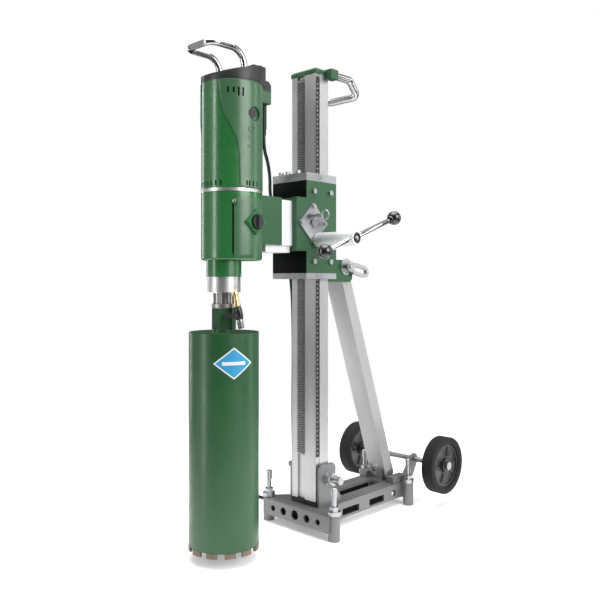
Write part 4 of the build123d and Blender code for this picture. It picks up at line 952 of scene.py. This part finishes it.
class RIG_OT_lead(bpy.types.Operator):
    """Models the motor's lead, the put-away coil and the plug"""

    bl_idname = "rig.lead"
    bl_label = "Lead"

    def execute(self, context):
        upper, path = route_curve("lead_upper", UPPER_ROUTE, CORD)
        pick(upper)
        bpy.ops.object.convert(target="MESH")
        upper = bpy.context.object
        give(upper, None, "cord_rubber", "lead", "cord_upper", smooth=80)
        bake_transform(upper)

        plug = self.plug()
        tail = [(COIL_X + x, COIL_Y + y, z) for x, y, z in PLUG_ROUTE]
        lower, path = route_curve("lead_lower", (*LOWER_ROUTE, *coil_turns(), *tail), CORD)
        give(lower, "base", "cord_rubber", "lead", "cord_lower", "cord_coil")
        return {"FINISHED"}

    def plug(self):
        """The moulded plug: a ribbed grip, a waist, a face and two pins."""
        x, y, z = COIL_X - 45, COIL_Y, 36.6
        profile = ((22, 5.5), (16, 7.5), (6, 9.5), (0, 11.5), (-5, 13.0), (-9, 14.6), (-20, 14.8), (-22, 14.2))
        body = None
        for (far, far_radius), (near, near_radius) in zip(profile, profile[1:]):
            clear()
            bpy.ops.mesh.primitive_cone_add(
                vertices=48, radius1=far_radius * MM, radius2=near_radius * MM, depth=(far - near) * MM,
                location=at(x, y + (far + near) / 2, z), rotation=(math.pi / 2, 0, 0))
            part = settle("plug_body")
            body = part if body is None else cut(body, part, operation="UNION")
        for rib in (2, 6, 10, 14):
            cut(body, ring("groove", 11.6 - rib * 0.28, 1.6, (x, y + rib, z), "Y", 40))
        give(soften(body, 0.5, 2, 30), "base", "black_plastic", "black", "cord_plug")
        pins = join("plug_pins", *[drum("pin", 2.4, y - 41, y - 21, x + side * 9.5, z, 24, "Y") for side in (-1, 1)])
        give(soften(pins, 0.8, 3), "base", "bright_steel", "zinc", "cord_plug")
        return [body, pins]


class RIG_OT_stage(bpy.types.Operator):
    """Sets the floor, the soft lights and the camera"""

    bl_idname = "rig.stage"
    bl_label = "Stage"

    def execute(self, context):
        scene = context.scene
        clear()
        bpy.ops.mesh.primitive_plane_add(size=scene.rig_sizes.floor_size, location=(0, 0, 0))
        floor = settle("floor")
        paper = Finish("floor_paper")
        grain = paper.noise(400, 2)
        paper.set(Base_Color=paper.ramp(grain, (0.3, (0.95, 0.95, 0.95)), (0.7, (0.98, 0.98, 0.98))), Roughness=0.95)
        paper.set(Specular_IOR_Level=0.1, Emission_Color=(1, 1, 1, 1), Emission_Strength=0.3)
        reach = paper.add("ShaderNodeVectorMath", operation="LENGTH")
        paper.link(paper.place, reach.inputs[0])
        paper.set(Alpha=paper.span(reach.outputs["Value"], 1.0, 0.0, FLOOR_SOLID, FLOOR_GONE))
        floor.data.materials.append(paper.material)
        self.surroundings(scene)
        for values in LIGHTS:
            self.light(*values)

        lens = bpy.data.cameras.new("camera")
        camera = bpy.data.objects.new("camera", lens)
        scene.collection.objects.link(camera)
        camera.location = at(*CAMERA_PLACE)
        camera.rotation_euler = (math.radians(90), 0, math.radians(CAMERA_TURN))
        lens.lens = LENS
        lens.shift_y = LENS_SHIFT
        lens.dof.use_dof = False
        scene.camera = camera
        scene.view_settings.view_transform = "Standard"
        return {"FINISHED"}

    def surroundings(self, scene):
        """A white room for the eye, and a dim one with bright bands for what the metal reflects."""
        world = bpy.data.worlds.new("studio")
        scene.world = world
        world.use_nodes = True
        tree = world.node_tree
        link = tree.links.new
        room = tree.nodes["Background"]
        seen = tree.nodes.new("ShaderNodeBackground")
        seen.inputs["Color"].default_value = (1, 1, 1, 1)
        place = tree.nodes.new("ShaderNodeTexCoord").outputs["Generated"]
        parts = tree.nodes.new("ShaderNodeSeparateXYZ")
        link(place, parts.inputs[0])
        around = tree.nodes.new("ShaderNodeTexGradient")
        around.gradient_type = "RADIAL"
        link(place, around.inputs["Vector"])
        bands = self.bands(tree, around.outputs["Fac"], ROOM_BANDS)
        rise = self.bands(tree, parts.outputs["Z"], ROOM_RISE)
        both = tree.nodes.new("ShaderNodeMix")
        both.data_type = "RGBA"
        both.blend_type = "LIGHTEN"
        both.inputs[0].default_value = 1
        link(bands, both.inputs[6])
        link(rise, both.inputs[7])
        link(both.outputs[2], room.inputs["Color"])
        room.inputs["Strength"].default_value = ROOM_STRENGTH
        kind = tree.nodes.new("ShaderNodeLightPath")
        choice = tree.nodes.new("ShaderNodeMixShader")
        link(kind.outputs["Is Camera Ray"], choice.inputs[0])
        link(room.outputs[0], choice.inputs[1])
        link(seen.outputs[0], choice.inputs[2])
        link(choice.outputs[0], tree.nodes["World Output"].inputs["Surface"])

    def bands(self, tree, factor, stops):
        """A grey ramp through (place, brightness) stops."""
        node = tree.nodes.new("ShaderNodeValToRGB")
        marks = node.color_ramp.elements
        while len(marks) < len(stops):
            marks.new(0.5)
        for mark, (place, grey) in zip(marks, stops):
            mark.position = place
            mark.color = (grey, grey, grey, 1)
        tree.links.new(factor, node.inputs["Fac"])
        return node.outputs["Color"]

    def light(self, name, place, target, width, height, power):
        """A soft light that looks at a target."""
        lamp = bpy.data.lights.new(name, "AREA")
        lamp.shape = "RECTANGLE"
        lamp.size = width
        lamp.size_y = height
        lamp.energy = power
        holder = bpy.data.objects.new(name, lamp)
        bpy.context.scene.collection.objects.link(holder)
        holder.location = at(*place)
        holder.rotation_euler = (at(*target) - holder.location).to_track_quat("-Z", "Y").to_euler()


OPERATORS = (
    RIG_OT_finishes, RIG_OT_motor, RIG_OT_gearbox, RIG_OT_bit_label, RIG_OT_carriage, RIG_OT_feed_bar,
    RIG_OT_valve, RIG_OT_wheels, RIG_OT_base, RIG_OT_lead, RIG_OT_stage)


class RIG_PT_panel(bpy.types.Panel):
    """Lists the steps that build the rig"""

    bl_idname = "RIG_PT_panel"
    bl_label = "Core Drill Rig"
    bl_space_type = "VIEW_3D"
    bl_region_type = "UI"
    bl_category = "Core Drill Rig"

    def draw(self, context):
        for settings in (context.scene.rig_colours, context.scene.rig_sizes):
            box = self.layout.box()
            for key in settings.__annotations__:
                box.prop(settings, key)
        for operator in OPERATORS:
            self.layout.operator(operator.bl_idname)


CLASSES = (RigColours, RigSizes, *OPERATORS, RIG_PT_panel)


def register():
    """Registers the classes and the scene's settings."""
    for each in CLASSES:
        bpy.utils.register_class(each)
    bpy.types.Scene.rig_colours = bpy.props.PointerProperty(type=RigColours)
    bpy.types.Scene.rig_sizes = bpy.props.PointerProperty(type=RigSizes)


def unregister():
    """Takes back what register added."""
    del bpy.types.Scene.rig_sizes
    del bpy.types.Scene.rig_colours
    for each in reversed(CLASSES):
        bpy.utils.unregister_class(each)


def main():
    """Builds the finished rig and its stage."""
    register()
    bpy.ops.rig.finishes()
    bpy.ops.rig.motor()
    bpy.ops.rig.gearbox()
    bpy.ops.rig.bit_label()
    bpy.ops.rig.carriage()
    bpy.ops.rig.feed_bar()
    bpy.ops.rig.valve()
    bpy.ops.rig.wheels()
    bpy.ops.rig.base()
    bpy.ops.rig.lead()
    bpy.ops.rig.stage()


if __name__ == "__main__":
    main()
